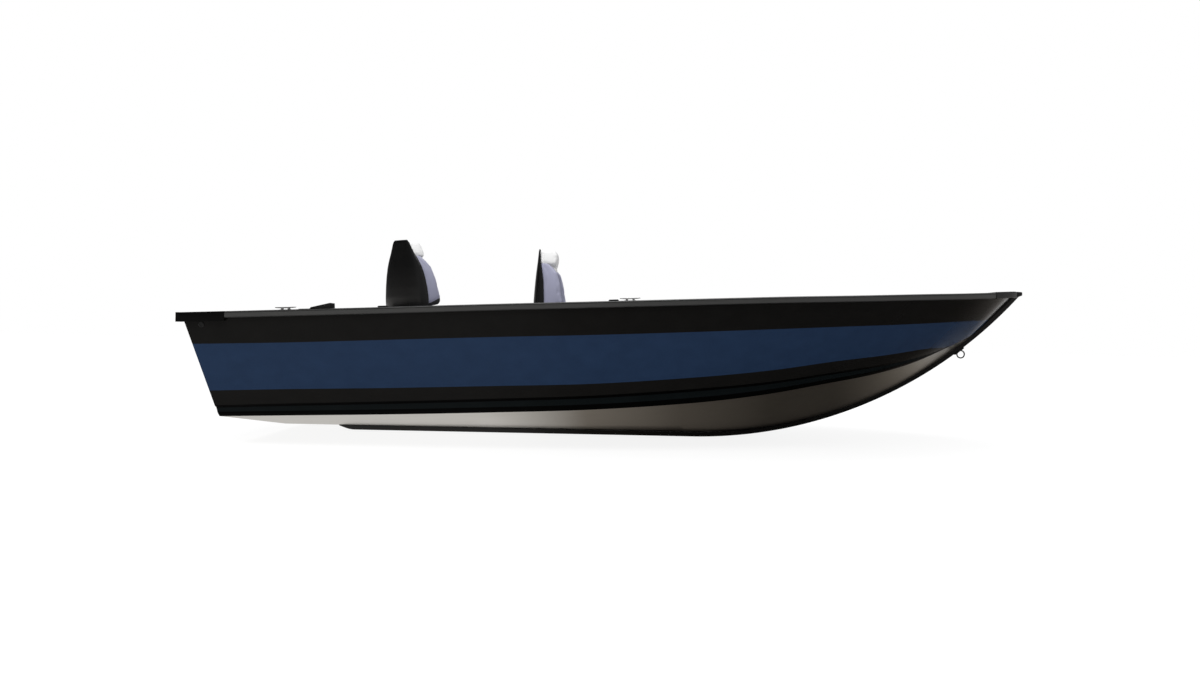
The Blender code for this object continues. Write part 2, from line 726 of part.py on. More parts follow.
# A seat back's outline. Columns: height above the floor, the shell's half-width, its rear, its front, the
# front of the cushion at its middle, and how far the side bolsters stand forward of that.
BackRow = namedtuple("BackRow", "z half aft split fore bolster")
BACK_ROWS = (
    BackRow(0.430, 0.140, -0.300, -0.262, -0.205, 0.000),
    BackRow(0.450, 0.160, -0.316, -0.262, -0.195, 0.000),
    BackRow(0.520, 0.174, -0.328, -0.262, -0.178, 0.008),
    BackRow(0.600, 0.179, -0.333, -0.262, -0.165, 0.050),
    BackRow(0.640, 0.178, -0.333, -0.262, -0.165, 0.056),
    BackRow(0.710, 0.171, -0.329, -0.265, -0.165, 0.052),
    BackRow(0.780, 0.160, -0.324, -0.268, -0.165, 0.040),
    BackRow(0.840, 0.145, -0.319, -0.272, -0.166, 0.018),
    BackRow(0.887, 0.126, -0.314, -0.277, -0.168, -0.010),
    BackRow(0.930, 0.103, -0.310, -0.283, -0.160, -0.010),
    BackRow(0.975, 0.082, -0.306, -0.289, -0.158, -0.006),
    BackRow(1.000, 0.070, -0.304, -0.292, -0.170, -0.004),
    BackRow(1.016, 0.056, -0.301, -0.293, -0.190, -0.002),
)


def seat_parts(seat):
    """One seat: floor pedestal, swivel, pan with hinge ears, pan cushion, back shell and back cushion."""
    base = Matrix.Translation((seat.x, seat.y, FLOOR_Z)) @ Matrix.Rotation(seat.turn, 4, "Z")
    swivel_z = SEAT_PAN_Z - 0.040
    pedestal = turned((
        (SEAT_BASE_R, GAP),
        (SEAT_BASE_R, SEAT_BASE_T * 0.6),
        (SEAT_BASE_R - 0.012, SEAT_BASE_T),
        (SEAT_POST_R + 0.014, SEAT_BASE_T + 0.004),
        (SEAT_POST_R, SEAT_BASE_T + 0.030),
        (SEAT_POST_R, swivel_z - GAP),
    ))
    add_object(seat.name + "_pedestal", pedestal, "polished_metal", boat, base)
    swivel = block(-0.100, 0.100, -0.095, 0.095, swivel_z, SEAT_PAN_Z - GAP)
    add_object(seat.name + "_swivel", swivel, "black_trim", boat, base)

    pan_top = SEAT_PAN_Z + SEAT_PAN_WALL
    hinge_z = pan_top + SEAT_PAD_T + SEAT_HINGE_RISE
    pan = rounded_block(SEAT_PAN_AFT, SEAT_PAN_FORE, -SEAT_PAN_HALF, SEAT_PAN_HALF, SEAT_PAN_Z, pan_top, 0.03)
    pan_object = add_object(seat.name + "_pan", pan, "seat_shell", boat, base)
    for side, sign in (("port", 1), ("starboard", -1)):
        y = sign * SEAT_EAR_Y
        outline = [
            (-0.135, y, pan_top - 0.010),
            (-0.060, y, pan_top - 0.010),
            (-0.060, y, pan_top + 0.020),
            (SEAT_HINGE_X + 0.022, y, hinge_z + 0.012),
            (SEAT_HINGE_X, y, hinge_z + 0.022),
            (SEAT_HINGE_X - 0.022, y, hinge_z + 0.012),
        ]
        ear = tool(f"{seat.name}_ear_{side}", prism(outline, (0, sign * SEAT_EAR_T, 0)))
        ear.matrix_local = base
        combine(pan_object, ear, "UNION")
    cushion = rounded_block(
        SEAT_PAN_AFT + 0.006,
        SEAT_PAN_FORE - 0.004,
        0.004 - SEAT_EAR_Y,
        SEAT_EAR_Y - 0.004,
        pan_top + GAP,
        pan_top + SEAT_PAD_T,
        0.05,
    )
    add_object(seat.name + "_cushion", cushion, "seat_vinyl", boat, base)

    hinge = Vector((SEAT_HINGE_X, 0, hinge_z))
    turn = base @ Matrix.Translation(hinge) @ Matrix.Rotation(-seat.recline, 4, "Y")
    shell = loft([shell_ring(row) for row in BACK_ROWS])
    back = add_object(seat.name + "_back_shell", shifted(shell, hinge), "seat_shell", boat, turn)
    for side, sign in (("port", 1), ("starboard", -1)):
        inner, arm, outer = (sign * y for y in (0.150, SEAT_EAR_Y - 0.0140, SEAT_EAR_Y - GAP))
        low = hinge_z - SEAT_LUG_HALF_Z
        outline = [
            (-0.295, inner, low),
            (-0.2625, inner, low),
            (-0.2625, arm, low),
            (SEAT_HINGE_X + 0.012, arm, low),
            (SEAT_HINGE_X + 0.012, outer, low),
            (-0.295, outer, low),
        ]
        lug = tool(f"{seat.name}_lug_{side}", prism(outline, (0, 0, 2 * SEAT_LUG_HALF_Z)))
        lug.matrix_local = turn @ Matrix.Translation(-hinge)
        combine(back, lug, "UNION")
    pad = loft([pad_ring(row) for row in BACK_ROWS])
    add_object(seat.name + "_back_cushion", shifted(pad, hinge), "seat_vinyl", boat, turn)


def shell_ring(row):
    """The shell's section at one height, round at the back and flat at the front."""
    half = row.half
    edge = row.split - SEAT_SHELL_EDGE
    ring = [Vector((row.split, half, row.z))]
    for i in range(SEAT_SHELL_STEPS + 1):
        turn = math.pi * i / SEAT_SHELL_STEPS
        across = math.copysign(abs(math.cos(turn)) ** SEAT_SHELL_SQUARE, math.cos(turn))
        behind = math.sin(turn) ** SEAT_SHELL_SQUARE
        ring.append(Vector((edge - (edge - row.aft) * behind, half * across, row.z)))
    ring.append(Vector((row.split, -half, row.z)))
    return ring


def pad_ring(row):
    """The cushion's section at one height, with a bolster at each side."""
    back = row.split + GAP
    tip = row.fore + row.bolster
    half = row.half - SEAT_BACK_PAD_INSET
    lean = min(SEAT_BOLSTER_LEAN, half * 0.3)
    right = [
        Vector((back, -half, row.z)),
        Vector(((back + tip) / 2, -half + lean * 0.3, row.z)),
        Vector((tip, -half + lean, row.z)),
        Vector((row.fore, -half + min(lean + SEAT_BOLSTER_WIDTH, half * 0.75), row.z)),
    ]
    return right + [Vector((p.x, -p.y, p.z)) for p in reversed(right)]


# Fittings


def rail_frame(x, sign, inward):
    """A frame on the rail's top at x, with its own X along the rail and Z square to it."""
    place = place_of_sheer(x)
    spot = sheer_point(place, inward)
    ahead = sheer_point(place + 0.1, inward)
    along = Vector((ahead.x - spot.x, sign * (ahead.y - spot.y), ahead.z - spot.z)).normalized()
    across = Vector((0, 0, 1)).cross(along).normalized()
    up = along.cross(across)
    frame = Matrix((along, across, up)).transposed().to_4x4()
    frame.translation = Vector((spot.x, sign * spot.y, spot.z)) + up * GAP
    return frame


def add_control_pod():
    """The sloped housing on the starboard rail beside the rear seat."""
    half = POD_WIDTH / 2
    outline = [
        (-0.098, -half, 0.0),
        (0.092, -half, 0.0),
        (0.092, -half, 0.034),
        (-0.025, -half, 0.0115),
        (-0.030, -half, 0.004),
        (-0.095, -half, 0.004),
    ]
    frame = rail_frame(POD_X, -1, RAIL_WIDTH / 2)
    add_object("control_pod", prism(outline, (0, POD_WIDTH, 0)), "black_trim", boat, frame)


def cleat_shape(length):
    """A low horn cleat along X with its foot at Z = 0."""
    half = length / 2
    outline = [
        (-half, 0, 0.013),
        (-half * 0.55, 0, 0.010),
        (-half * 0.50, 0, 0.0),
        (half * 0.50, 0, 0.0),
        (half * 0.55, 0, 0.010),
        (half, 0, 0.013),
        (half * 0.92, 0, 0.018),
        (-half * 0.92, 0, 0.018),
    ]
    return prism([(x, -0.012, z) for x, _, z in outline], (0, 0.024, 0))


Cleat = namedtuple("Cleat", "name x length")
CLEATS = (Cleat("cleat_stern", 0.61, 0.125), Cleat("cleat_mid", 2.60, 0.12))


def add_cleats():
    for cleat in CLEATS:
        for side, sign in (("port", 1), ("starboard", -1)):
            frame = rail_frame(cleat.x, sign, CLEAT_INWARD)
            made = cleat_shape(cleat.length)
            add_object(f"{cleat.name}_{side}", made, "polished_metal", boat, frame)


Socket = namedtuple("Socket", "name x")
SOCKETS = (Socket("rail_socket_aft", 1.177), Socket("rail_socket_mid", 2.505))


def add_sockets():
    """Two capped sockets on the starboard rail."""
    half, wide, edge = SOCKET_LENGTH / 2, SOCKET_WIDTH / 2, SOCKET_HEIGHT * 0.4
    for socket in SOCKETS:
        outline = [
            (-half, -wide, 0.0),
            (half, -wide, 0.0),
            (half, -wide, SOCKET_HEIGHT - edge),
            (half - edge, -wide, SOCKET_HEIGHT),
            (edge - half, -wide, SOCKET_HEIGHT),
            (-half, -wide, SOCKET_HEIGHT - edge),
        ]
        frame = rail_frame(socket.x, -1, RAIL_WIDTH / 2)
        add_object(socket.name, prism(outline, (0, SOCKET_WIDTH, 0)), "black_trim", boat, frame)


def facing(spot, along, up):
    """A frame at a spot, with Z out of the face that along and up lie in."""
    out = along.cross(up).normalized()
    side = up.cross(out).normalized()
    frame = Matrix((side, out.cross(side), out)).transposed().to_4x4()
    frame.translation = spot + out * GAP
    return frame


def add_side_outlet():
    """A flanged outlet through the starboard side, on the flat between the side's first two sections."""
    near, far = (side_ring(place) for place in PLACES[:2])
    spots = []
    for ring in (near, far):
        high, top = ring[6], ring[7]
        spots.append(on_line(high, top, OUTLET_Z))
    spot = spots[0].lerp(spots[1], OUTLET_SHARE)
    high = near[6].lerp(far[6], OUTLET_SHARE)
    (spot, along_end, high) = mirrored([spot, spots[1], high])
    profile = (
        (OUTLET_RADIUS, 0.0),
        (OUTLET_RADIUS, 0.0025),
        (OUTLET_RADIUS * 0.85, 0.0045),
        (OUTLET_RADIUS * 0.55, 0.0045),
        (OUTLET_RADIUS * 0.50, 0.0015),
    )
    frame = facing(spot, along_end - spot, spot - high)
    add_object("side_outlet", turned(profile), "black_trim", boat, frame)


def add_bow_eye():
    """A U-bolt through the stem, with a backing foot against the keel bar."""
    angle = BOW_EYE_ANGLE
    out = Vector((math.sin(angle), 0, -math.cos(angle)))
    along = Vector((math.cos(angle), 0, math.sin(angle)))
    centre = Vector((STEM_START_X, 0, STEM_RADIUS)) + out * (STEM_RADIUS + GAP)
    bm = bmesh.new()
    corners = ((-0.04, -0.012), (0.04, -0.012), (0.04, 0.012), (-0.04, 0.012))
    foot = [centre + along * ahead + Vector((0, y, 0)) for ahead, y in corners]
    prism(foot, out * 0.008, bm)
    body = add_object("bow_eye", bm, "polished_metal")
    rings = []
    for i in range(9):
        turn = math.pi * i / 8
        reach = BOW_EYE_REACH * math.sin(turn)
        middle = centre + out * (0.005 + reach) + along * (BOW_EYE_HALF * math.cos(turn))
        heading = out * math.cos(turn) * BOW_EYE_REACH - along * math.sin(turn) * BOW_EYE_HALF
        heading.normalize()
        side = heading.cross(Vector((0, 1, 0))).normalized()
        ring = []
        for k in range(8):
            spin = 2 * math.pi * k / 8
            around = side * math.cos(spin) + Vector((0, 1, 0)) * math.sin(spin)
            ring.append(middle + around * 0.0048)
        rings.append(ring)
    combine(body, tool("bow_eye_loop", loft(rings)), "UNION")


def add_stern_fittings():
    """Two tie-down eyes on the transom."""
    z = STERN_EYE_Z
    x = transom_x(z)
    for side, sign in (("port", 1), ("starboard", -1)):
        y = sign * STERN_EYE_Y
        bm = bmesh.new()
        corners = ((-0.02, -0.04), (0.02, -0.04), (0.02, 0.04), (-0.02, 0.04))
        face = [Vector((transom_x(z + up) - GAP, y + side_way, z + up)) for side_way, up in corners]
        prism(face, (-0.006, 0, 0), bm)
        plate = add_object("stern_eye_" + side, bm, "polished_metal")
        rings = []
        for i in range(9):
            turn = math.pi * i / 8
            middle = Vector((x - 0.0056 - 0.036 * math.sin(turn), y, z - 0.026 * math.cos(turn)))
            heading = Vector((-math.cos(turn) * 0.036, 0, 0.026 * math.sin(turn))).normalized()
            across = heading.cross(Vector((0, 1, 0))).normalized()
            ring = []
            for k in range(8):
                spin = 2 * math.pi * k / 8
                around = across * math.cos(spin) + Vector((0, 1, 0)) * math.sin(spin)
                ring.append(middle + around * 0.0048)
            rings.append(ring)
        combine(plate, tool("stern_eye_loop_" + side, loft(rings)), "UNION")


form = tool("inside_form", loft([form_ring(place) for place in PLACES]))
add_hull()
add_keel()
add_transom()
add_gunwales()
add_bow_cap()
add_floor_and_decks()
add_hatches()
add_liners()
add_rod_locker()
for one_seat in SEATS:
    seat_parts(one_seat)
add_control_pod()
add_cleats()
add_sockets()
add_side_outlet()
add_bow_eye()
add_stern_fittings()
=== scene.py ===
"""Looks of the aluminium fishing boat: paint, bare metal, decks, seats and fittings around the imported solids.

Shapes are written in the boat's own frame, in metres: X forward from the stern, Y to port, Z up from the
underside of the keel bar. TO_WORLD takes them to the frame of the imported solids.
"""

import math
from collections import namedtuple

import bmesh
import bpy
import numpy as np
from mathutils import Matrix, Vector


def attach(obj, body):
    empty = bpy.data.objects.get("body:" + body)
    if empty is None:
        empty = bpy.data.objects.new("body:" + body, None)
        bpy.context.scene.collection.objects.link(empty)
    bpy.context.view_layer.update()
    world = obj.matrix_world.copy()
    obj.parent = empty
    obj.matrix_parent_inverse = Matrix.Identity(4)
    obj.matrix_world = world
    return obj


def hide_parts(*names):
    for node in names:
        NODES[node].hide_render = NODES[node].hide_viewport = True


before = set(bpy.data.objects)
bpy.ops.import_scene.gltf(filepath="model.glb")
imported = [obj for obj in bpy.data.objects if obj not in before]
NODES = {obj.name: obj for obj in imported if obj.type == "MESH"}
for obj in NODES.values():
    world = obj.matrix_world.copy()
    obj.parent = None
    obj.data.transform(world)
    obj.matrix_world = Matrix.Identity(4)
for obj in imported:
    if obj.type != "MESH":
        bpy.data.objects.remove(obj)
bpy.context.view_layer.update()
TO_WORLD = Vector((-2.72, 0, -0.25))
GAP = 0.0003
SIDES = (("port", 1), ("starboard", -1))

# Camera, world and floor

CAMERA_SPOT, CAMERA_ROLL, CAMERA_LENS = Vector((2.43, -5.75, 0.693815)), 0.0205, 24.108
FLOOR_REACH, FLOOR_LEVEL = 60, -0.2505
# Where the floor's painted reflection changes from its tone under the bottom to its tone beside the bow.
BOW_SLANT, BOW_X, BOW_BLUR = 1.1, 5.2, 0.5


def add_object(name, data):
    made = bpy.data.objects.new(name, data)
    bpy.context.collection.objects.link(made)
    return made


def add_camera():
    """Square to the starboard side, as in the photo, with its small roll."""
    data = bpy.data.cameras.new("camera")
    data.sensor_width = 36
    data.lens = CAMERA_LENS
    right = Vector((1, 0, CAMERA_ROLL)).normalized()
    up = Vector((-CAMERA_ROLL, 0, 1)).normalized()
    matrix = Matrix((right, up, right.cross(up))).transposed().to_4x4()
    matrix.translation = CAMERA_SPOT + TO_WORLD
    made = add_object("camera", data)
    made.matrix_world = matrix
    bpy.context.scene.camera = made


def add_area(name, spot, target, size, energy):
    data = bpy.data.lights.new(name, "AREA")
    data.shape = "RECTANGLE"
    data.size, data.size_y = size
    data.energy = energy
    made = add_object(name, data)
    made.location = spot
    made.rotation_euler = (Vector(target) - Vector(spot)).to_track_quat("-Z", "Y").to_euler()
    return made


def feed(node, inputs):
    """Sets each input of a node to a value, or links it to an output. A node stands for its first output."""
    for socket, value in inputs.items():
        if isinstance(value, bpy.types.Node):
            value = value.outputs[0]
        if isinstance(value, bpy.types.NodeSocket):
            node.id_data.links.new(value, node.inputs[socket])
        else:
            node.inputs[socket].default_value = value
    return node


def adder(tree):
    """A function that adds a node to the tree and feeds its inputs."""

    def add(kind, inputs=None, **settings):
        node = tree.nodes.new("ShaderNode" + kind)
        for name, value in settings.items():
            setattr(node, name, value)
        return feed(node, inputs or {})

    return add


def remap(add, value, source=(0, 1), target=(0, 1)):
    """The value carried from one range to another, and kept inside it."""
    names = ("Value", "From Min", "From Max", "To Min", "To Max")
    return add("MapRange", dict(zip(names, (value, *source, *target))))


def ramp(add, factor, stops):
    """A colour ramp through (position, colour) stops."""
    node = add("ValToRGB", {"Fac": factor})
    elements = node.color_ramp.elements
    while len(elements) < len(stops):
        elements.new(0.5)
    for element, (position, color) in zip(elements, stops):
        element.position = position
        element.color = (*color, 1)
    return node


# Painted reflections: the floor's glow as only reflections see it, set darker and paler along the boat.
# Columns: boat x, brightness under the bottom, brightness beside the bow.
REFLECTION_PAINT_TONES = (
    (0.0, 0.79, 0.79), (1.7, 0.74, 0.74), (2.35, 0.20, 0.20), (3.0, 0.085, 0.085),
    (3.7, 0.035, 0.035), (4.3, 0.032, 0.030), (4.6, 0.060, 0.035), (4.9, 0.10, 0.045),
    (5.2, 0.17, 0.05), (5.5, 0.32, 0.05), (5.9, 0.60, 0.04), (6.4, 0.95, 0.04),
    (6.9, 1.00, 0.08), (7.5, 1.00, 0.30), (9.0, 1.00, 0.60),
)


def add_world():
    """White. Reflections see a dimmer studio than the light that fills it, and a dark one astern."""
    world = bpy.data.worlds.new("studio")
    bpy.context.scene.world = world
    world.use_nodes = True
    add = adder(world.node_tree)
    path = add("LightPath").outputs
    heading = add("SeparateXYZ", {0: add("TexCoord").outputs["Generated"]}).outputs["X"]
    strength = remap(add, path["Is Camera Ray"], target=(0.90, 1.0))
    ahead = remap(add, heading, (-0.95, -0.15), (0.06, 0.40))
    dim = remap(add, path["Is Glossy Ray"], target=(1.0, ahead))
    level = add("Math", {0: strength, 1: dim}, operation="MULTIPLY")
    feed(world.node_tree.nodes["Background"], {"Color": (1, 1, 1, 1), "Strength": level})


def add_floor():
    """White to the camera apart from the boat's shadow. Reflections see a painted reflection instead, a glow
    pale aft, dark under the fore body, and pale again under the bow but not beside it, painting the reflections
    on bottom and paint."""
    reach = FLOOR_REACH
    square = ((-reach, -reach), (reach, -reach), (reach, reach), (-reach, reach))
    corners = [(x, y, FLOOR_LEVEL) for x, y in square]
    mesh = bpy.data.meshes.new("floor")
    mesh.from_pydata(corners, [], [(0, 1, 2, 3)])
    floor = add_object("floor", mesh)
    made = bpy.data.materials.new("floor_white_and_painted_reflection")
    made.use_nodes = True
    made.node_tree.nodes.clear()
    add = adder(made.node_tree)
    path = add("LightPath").outputs
    diffuse = add("BsdfDiffuse", {"Color": (0.90, 0.90, 0.90, 1)})
    glow = add("Emission", {"Strength": 1.08})
    share = remap(add, path["Is Camera Ray"], target=(0, 0.80))
    seen = add("MixShader", {0: share, 1: diffuse, 2: glow})
    place = add("SeparateXYZ", {0: add("TexCoord").outputs["Object"]}).outputs
    start, end = REFLECTION_PAINT_TONES[0][0], REFLECTION_PAINT_TONES[-1][0]
    along = remap(add, place["X"], (start + TO_WORLD.x, end + TO_WORLD.x))
    slant = add("Math", {0: place["X"], 1: -BOW_SLANT, 2: place["Y"]}, operation="MULTIPLY_ADD")
    edge = -BOW_SLANT * (BOW_X + TO_WORLD.x)
    under = remap(add, slant, (edge, edge + BOW_BLUR))
    painted_reflection_ramps = {}
    for column, socket in ((1, "B"), (2, "A")):
        stops = []
        for row in REFLECTION_PAINT_TONES:
            bright = row[column]
            shade = 1 - bright
            warm = (bright, bright * (1 - 0.15 * shade), bright * (1 - 0.30 * shade))
            stops.append(((row[0] - start) / (end - start), warm))
        painted_reflection_ramps[socket] = ramp(add, along, stops)
    tone = add("Mix", {"Factor": under, **painted_reflection_ramps}, data_type="RGBA")
    # Painted reflection: a glow that only reflections see, darker and paler along the boat by the table of
    # tones.
    painted_reflection = add("Emission", {"Color": tone.outputs["Result"]})
    choice = add("MixShader", {0: path["Is Glossy Ray"], 1: seen, 2: painted_reflection})
    add("OutputMaterial", {"Surface": choice})
    mesh.materials.append(made)


def add_stage():
    bpy.context.scene.view_settings.view_transform = "Standard"
    add_world()
    add_floor()
    add_area("key", (-3.5, -5.5, 5.0), (0, 0, 0.2), (5, 3), 260).visible_glossy = False
    add_area("overhead", (0.5, 1.0, 6.0), (0, 0, 0), (7, 4), 240)


# Materials


def look(name, color, roughness, metallic=0.0, scale=60, detail=4, tint=0.12, rough_by=0.08, bump=0.0002,
         fleck=None, wear=None, specular=0.5):
    """A Principled material. Noise in the piece's own space varies its colour, roughness and relief.
    fleck is (scale, colour, size) of speckles, and wear is (scale, colour, amount) of larger patches."""
    made = bpy.data.materials.new(name)
    made.use_nodes = True
    add = adder(made.node_tree)
    where = add("TexCoord").outputs["Object"]
    sizes = scale if isinstance(scale, tuple) else (scale, scale, scale)
    mapping = add("Mapping", {"Vector": where, "Scale": sizes})
    noise = add("TexNoise", {"Vector": mapping, "Scale": 1.0, "Detail": detail})
    darker = [part * (1 - tint) for part in color]
    paler = [min(part * (1 + tint), 1) for part in color]
    tone = ramp(add, noise, ((0.25, darker), (0.75, paler)))
    marks = []
    if fleck:
        size, shade, reach = fleck
        dots = add("TexVoronoi", {"Vector": where, "Scale": size})
        marks.append((shade, remap(add, dots, (reach, reach * 0.6))))
    if wear:
        size, shade, amount = wear
        patches = add("TexNoise", {"Vector": where, "Scale": size})
        marks.append((shade, remap(add, patches, (0.52, 0.75), (0, amount))))
    for shade, share in marks:
        tone = add("Mix", {"Factor": share, "A": tone, "B": (*shade, 1)}, data_type="RGBA").outputs["Result"]
    spread = remap(add, noise, target=(max(roughness - rough_by, 0.02), min(roughness + rough_by, 1.0)))
    relief = add("Bump", {"Height": noise, "Distance": bump, "Strength": 1.0})
    feed(made.node_tree.nodes["Principled BSDF"], {
        "Base Color": tone,
        "Metallic": metallic,
        "Roughness": spread,
        "Specular IOR Level": specular,
        "Normal": relief,
    })
    return made


def gray(level):
    return (level, level, level)


PAINTED = {"scale": (9, 9, 14), "tint": 0.10, "rough_by": 0.03, "bump": 0.00002}
BLACK_PAINT = look("black_paint", (0.0050, 0.0048, 0.0045), 0.24, specular=0.05, **PAINTED)
# Painted shade: the rib's paint is darker than the black to shade the rib face, and the seam's near-black paint
# shades the undercut below the rib face and the step above it, as well as darkening the real seam.
RIB_PAINTED_SHADE = look("rib_painted_shade", (0.0030, 0.0042, 0.0046), 0.24, specular=0.03, **PAINTED)
SEAM_AND_UNDERCUT_SHADE = look("seam_and_undercut_painted_shade", gray(0.0009), 0.24, specular=0.02, **PAINTED)
BLUE_PAINT = look("blue_paint", (0.0100, 0.0215, 0.0485), 0.24, specular=0.05,
                  fleck=(900, (0.016, 0.032, 0.068), 0.25), **PAINTED | {"tint": 0.08})
BARE_METAL = look("bare_metal", (0.60, 0.60, 0.57), 0.34, 1.0, (3, 60, 60), detail=6, tint=0.06, bump=0.00005,
                  wear=(3.0, (0.50, 0.50, 0.47), 0.5))
BLACK_TRIM = look("black_trim_moulded", gray(0.008), 0.46, scale=700, bump=0.00012, specular=0.15)
# Painted shade: the corner caps' black moulding is made darker than the other trim, against the key light that
# falls on them.
CORNER_TRIM_PAINTED_SHADE = look("corner_trim_moulded_painted_shade", gray(0.0016), 0.46, scale=700, bump=0.00012, specular=0.06)
KEEL_COAT = look("keel_coat", gray(0.004), 0.42, scale=(25, 120, 120), bump=0.0001, specular=0.3)
RAIL_METAL = look("rail_metal", (0.040, 0.040, 0.039), 0.42, 0.35, (4, 220, 220), detail=3, tint=0.08,
                  bump=0.00003)
# The padded top insert's real black, also used as painted shade in the rail's groove and under its lip.
RAIL_INSERT_AND_SHADE = look("rail_insert_and_painted_shade", gray(0.008), 0.55, scale=400, bump=0.0001)
DECK_WEAVE = look("deck_weave", (0.135, 0.137, 0.145), 0.85, scale=420, detail=3, tint=0.45, bump=0.0010,
                  wear=(5.0, (0.165, 0.165, 0.17), 0.4))
LINER_COAT = look("liner_coat", (0.20, 0.20, 0.215), 0.55, scale=260, tint=0.10, bump=0.00025,
                  fleck=(230, (0.46, 0.46, 0.48), 0.20))
TUB = look("tub_moulded", (0.56, 0.56, 0.54), 0.50, scale=300, tint=0.04, bump=0.00012,
           wear=(4.0, (0.48, 0.48, 0.46), 0.4))
SHELL = look("shell_moulded", gray(0.0014), 0.24, scale=900, detail=2, bump=0.00005, specular=0.42)
SEWN = {"scale": 650, "detail": 5, "bump": 0.00022}
VINYL = look("vinyl_gray", (0.268, 0.272, 0.366), 0.48, tint=0.07,
             wear=(7.0, (0.235, 0.24, 0.325), 0.5), **SEWN)
VINYL_WHITE = look("vinyl_white", gray(0.66), 0.48, tint=0.03, **SEWN)
VINYL_BLACK = look("vinyl_black", (0.012, 0.012, 0.013), 0.50, tint=0.2, **SEWN)
STAINLESS = look("stainless", (0.66, 0.66, 0.67), 0.16, 1.0, (60, 200, 200), tint=0.04, rough_by=0.05,
                 bump=0.00001)
ALLOY = look("alloy", gray(0.44), 0.38, 1.0, (20, 200, 200), tint=0.06, bump=0.00003)
RUBBER = look("rubber", gray(0.010), 0.72, scale=500)
DARK_CAST = look("dark_cast", gray(0.008), 0.38, 0.3, 300, bump=0.00008, specular=0.2)
WELD = look("weld_bead", (0.014, 0.014, 0.013), 0.35, scale=350, bump=0.0004, specular=0.2)

# Mesh helpers, all in the boat's frame


def angles(count):
    return [2 * math.pi * k / count for k in range(count)]


def circle(radius, height, count, turn=0):
    """Points round the Z axis, the first of them turned by some degrees."""
    turns = [math.radians(turn) + angle for angle in angles(count)]
    return [Vector((radius * math.cos(a), radius * math.sin(a), height)) for a in turns]


def rounded(points, radii, steps=3):
    """The same outline with each corner turned on its radius. A radius of 0 keeps the corner's one point."""
    made = []
    for i, (point, radius) in enumerate(zip(points, radii)):
        if radius == 0:
            made.append(point)
            continue
        before = points[i - 1] - point
        after = points[(i + 1) % len(points)] - point
        start = point + before.normalized() * min(radius, before.length * 0.45)
        end = point + after.normalized() * min(radius, after.length * 0.45)
        for step in range(steps + 1):
            t = step / steps
            made.append(start * (1 - t) ** 2 + point * 2 * t * (1 - t) + end * t**2)
    return made


def loft(bm, rings, materials=None, looped=False):
    """Quads through rings of equally many points, with capped ends unless the last ring joins the first.
    materials gives the slot of each quad round the ring."""
    rows = [[bm.verts.new(point) for point in ring] for ring in rings]
    count = len(rows[0])
    pairs = list(zip(rows, rows[1:])) + ([(rows[-1], rows[0])] if looped else [])
    for near, far in pairs:
        for i in range(count):
            j = (i + 1) % count
            face = bm.faces.new((near[i], near[j], far[j], far[i]))
            if materials:
                face.material_index = materials[i]
    if not looped:
        bm.faces.new(list(reversed(rows[0])))
        bm.faces.new(rows[-1])
    return bm


def tube(bm, path, radius, sides=10, looped=False):
    """A round bar along a path, carried without twist."""
    points = [Vector(point) for point in path]
    rings = []
    side = None
    for i, point in enumerate(points):
        before = points[i - 1] if i or looped else point
        after = points[(i + 1) % len(points)] if i + 1 < len(points) or looped else point
        heading = (after - before).normalized()
        if side is None:
            side = heading.orthogonal().normalized()
        side = (side - heading * side.dot(heading)).normalized()
        other = heading.cross(side)
        ring = [point + (side * math.cos(a) + other * math.sin(a)) * radius for a in angles(sides)]
        rings.append(ring)
    return loft(bm, rings, looped=looped)


def turned(bm, profile, matrix, steps=24):
    """A body of revolution about the matrix's Z, from (radius, height) pairs."""
    rings = [[matrix @ point for point in circle(radius, height, steps)] for radius, height in profile]
    return loft(bm, rings)


def box(bm, low, high, bevel, matrix=Matrix()):
    """A box with rounded edges."""
    made = bmesh.new()
    low, high = Vector(low), Vector(high)
    size = Matrix.Diagonal((*(high - low), 1))
    bmesh.ops.create_cube(made, size=1, matrix=Matrix.Translation((low + high) / 2) @ size)
    bmesh.ops.bevel(made, geom=made.edges[:], offset=bevel, segments=2, profile=0.5, affect="EDGES")
    bmesh.ops.transform(made, matrix=matrix, verts=made.verts)
    mesh = bpy.data.meshes.new("part")
    made.to_mesh(mesh)
    made.free()
    bm.from_mesh(mesh)
    bpy.data.meshes.remove(mesh)
    return bm


def heads(bm, matrix, spots, radius, height, steps=10):
    """Rivet or screw heads at spots in a frame, round over a flat foot."""
    shares = ((1.0, 0.0), (0.95, 0.45), (0.7, 0.8), (0.25, 1.0))
    profile = [(radius * wide, height * tall) for wide, tall in shares]
    for spot in spots:
        turned(bm, profile, matrix @ Matrix.Translation(spot), steps)
    return bm


def mesh_of(name, bm, looks, sharp=35):
    """A mesh of the faces, smooth but for its sharp edges."""
    bmesh.ops.recalc_face_normals(bm, faces=bm.faces)
    mesh = bpy.data.meshes.new(name)
    bm.to_mesh(mesh)
    bm.free()
    for one in looks:
        mesh.materials.append(one)
    mesh.shade_smooth()
    mesh.set_sharp_from_angle(angle=math.radians(sharp))
    return mesh


def fitted(name, mesh, body, replaces, matrix=Matrix()):
    """An object that rides on a body, in place of the solids it replaces."""
    made = add_object(name, mesh)
    made.matrix_world = matrix
    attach(made, body)
    if replaces:
        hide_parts(*replaces)
    return made


def piece(name, bm, looks, body="hull", replaces=()):
    """An object from boat coordinates."""
    mesh = mesh_of(name, bm, looks)
    mesh.transform(Matrix.Translation(TO_WORLD))
    return fitted(name, mesh, body, replaces)


def mirrored(points):
    return [Vector((p.x, -p.y, p.z)) for p in points]


def on_side(rings, sign):
    """The port side's rings, or their mirror image for starboard."""
    return rings if sign > 0 else [mirrored(ring) for ring in rings]


def between(table, z):
    """The value at z in a table of (z, value) pairs, straight between them."""
    return float(np.interp(z, [row[0] for row in table], [row[1] for row in table]))


# The hull's table of offsets, as in the part's source

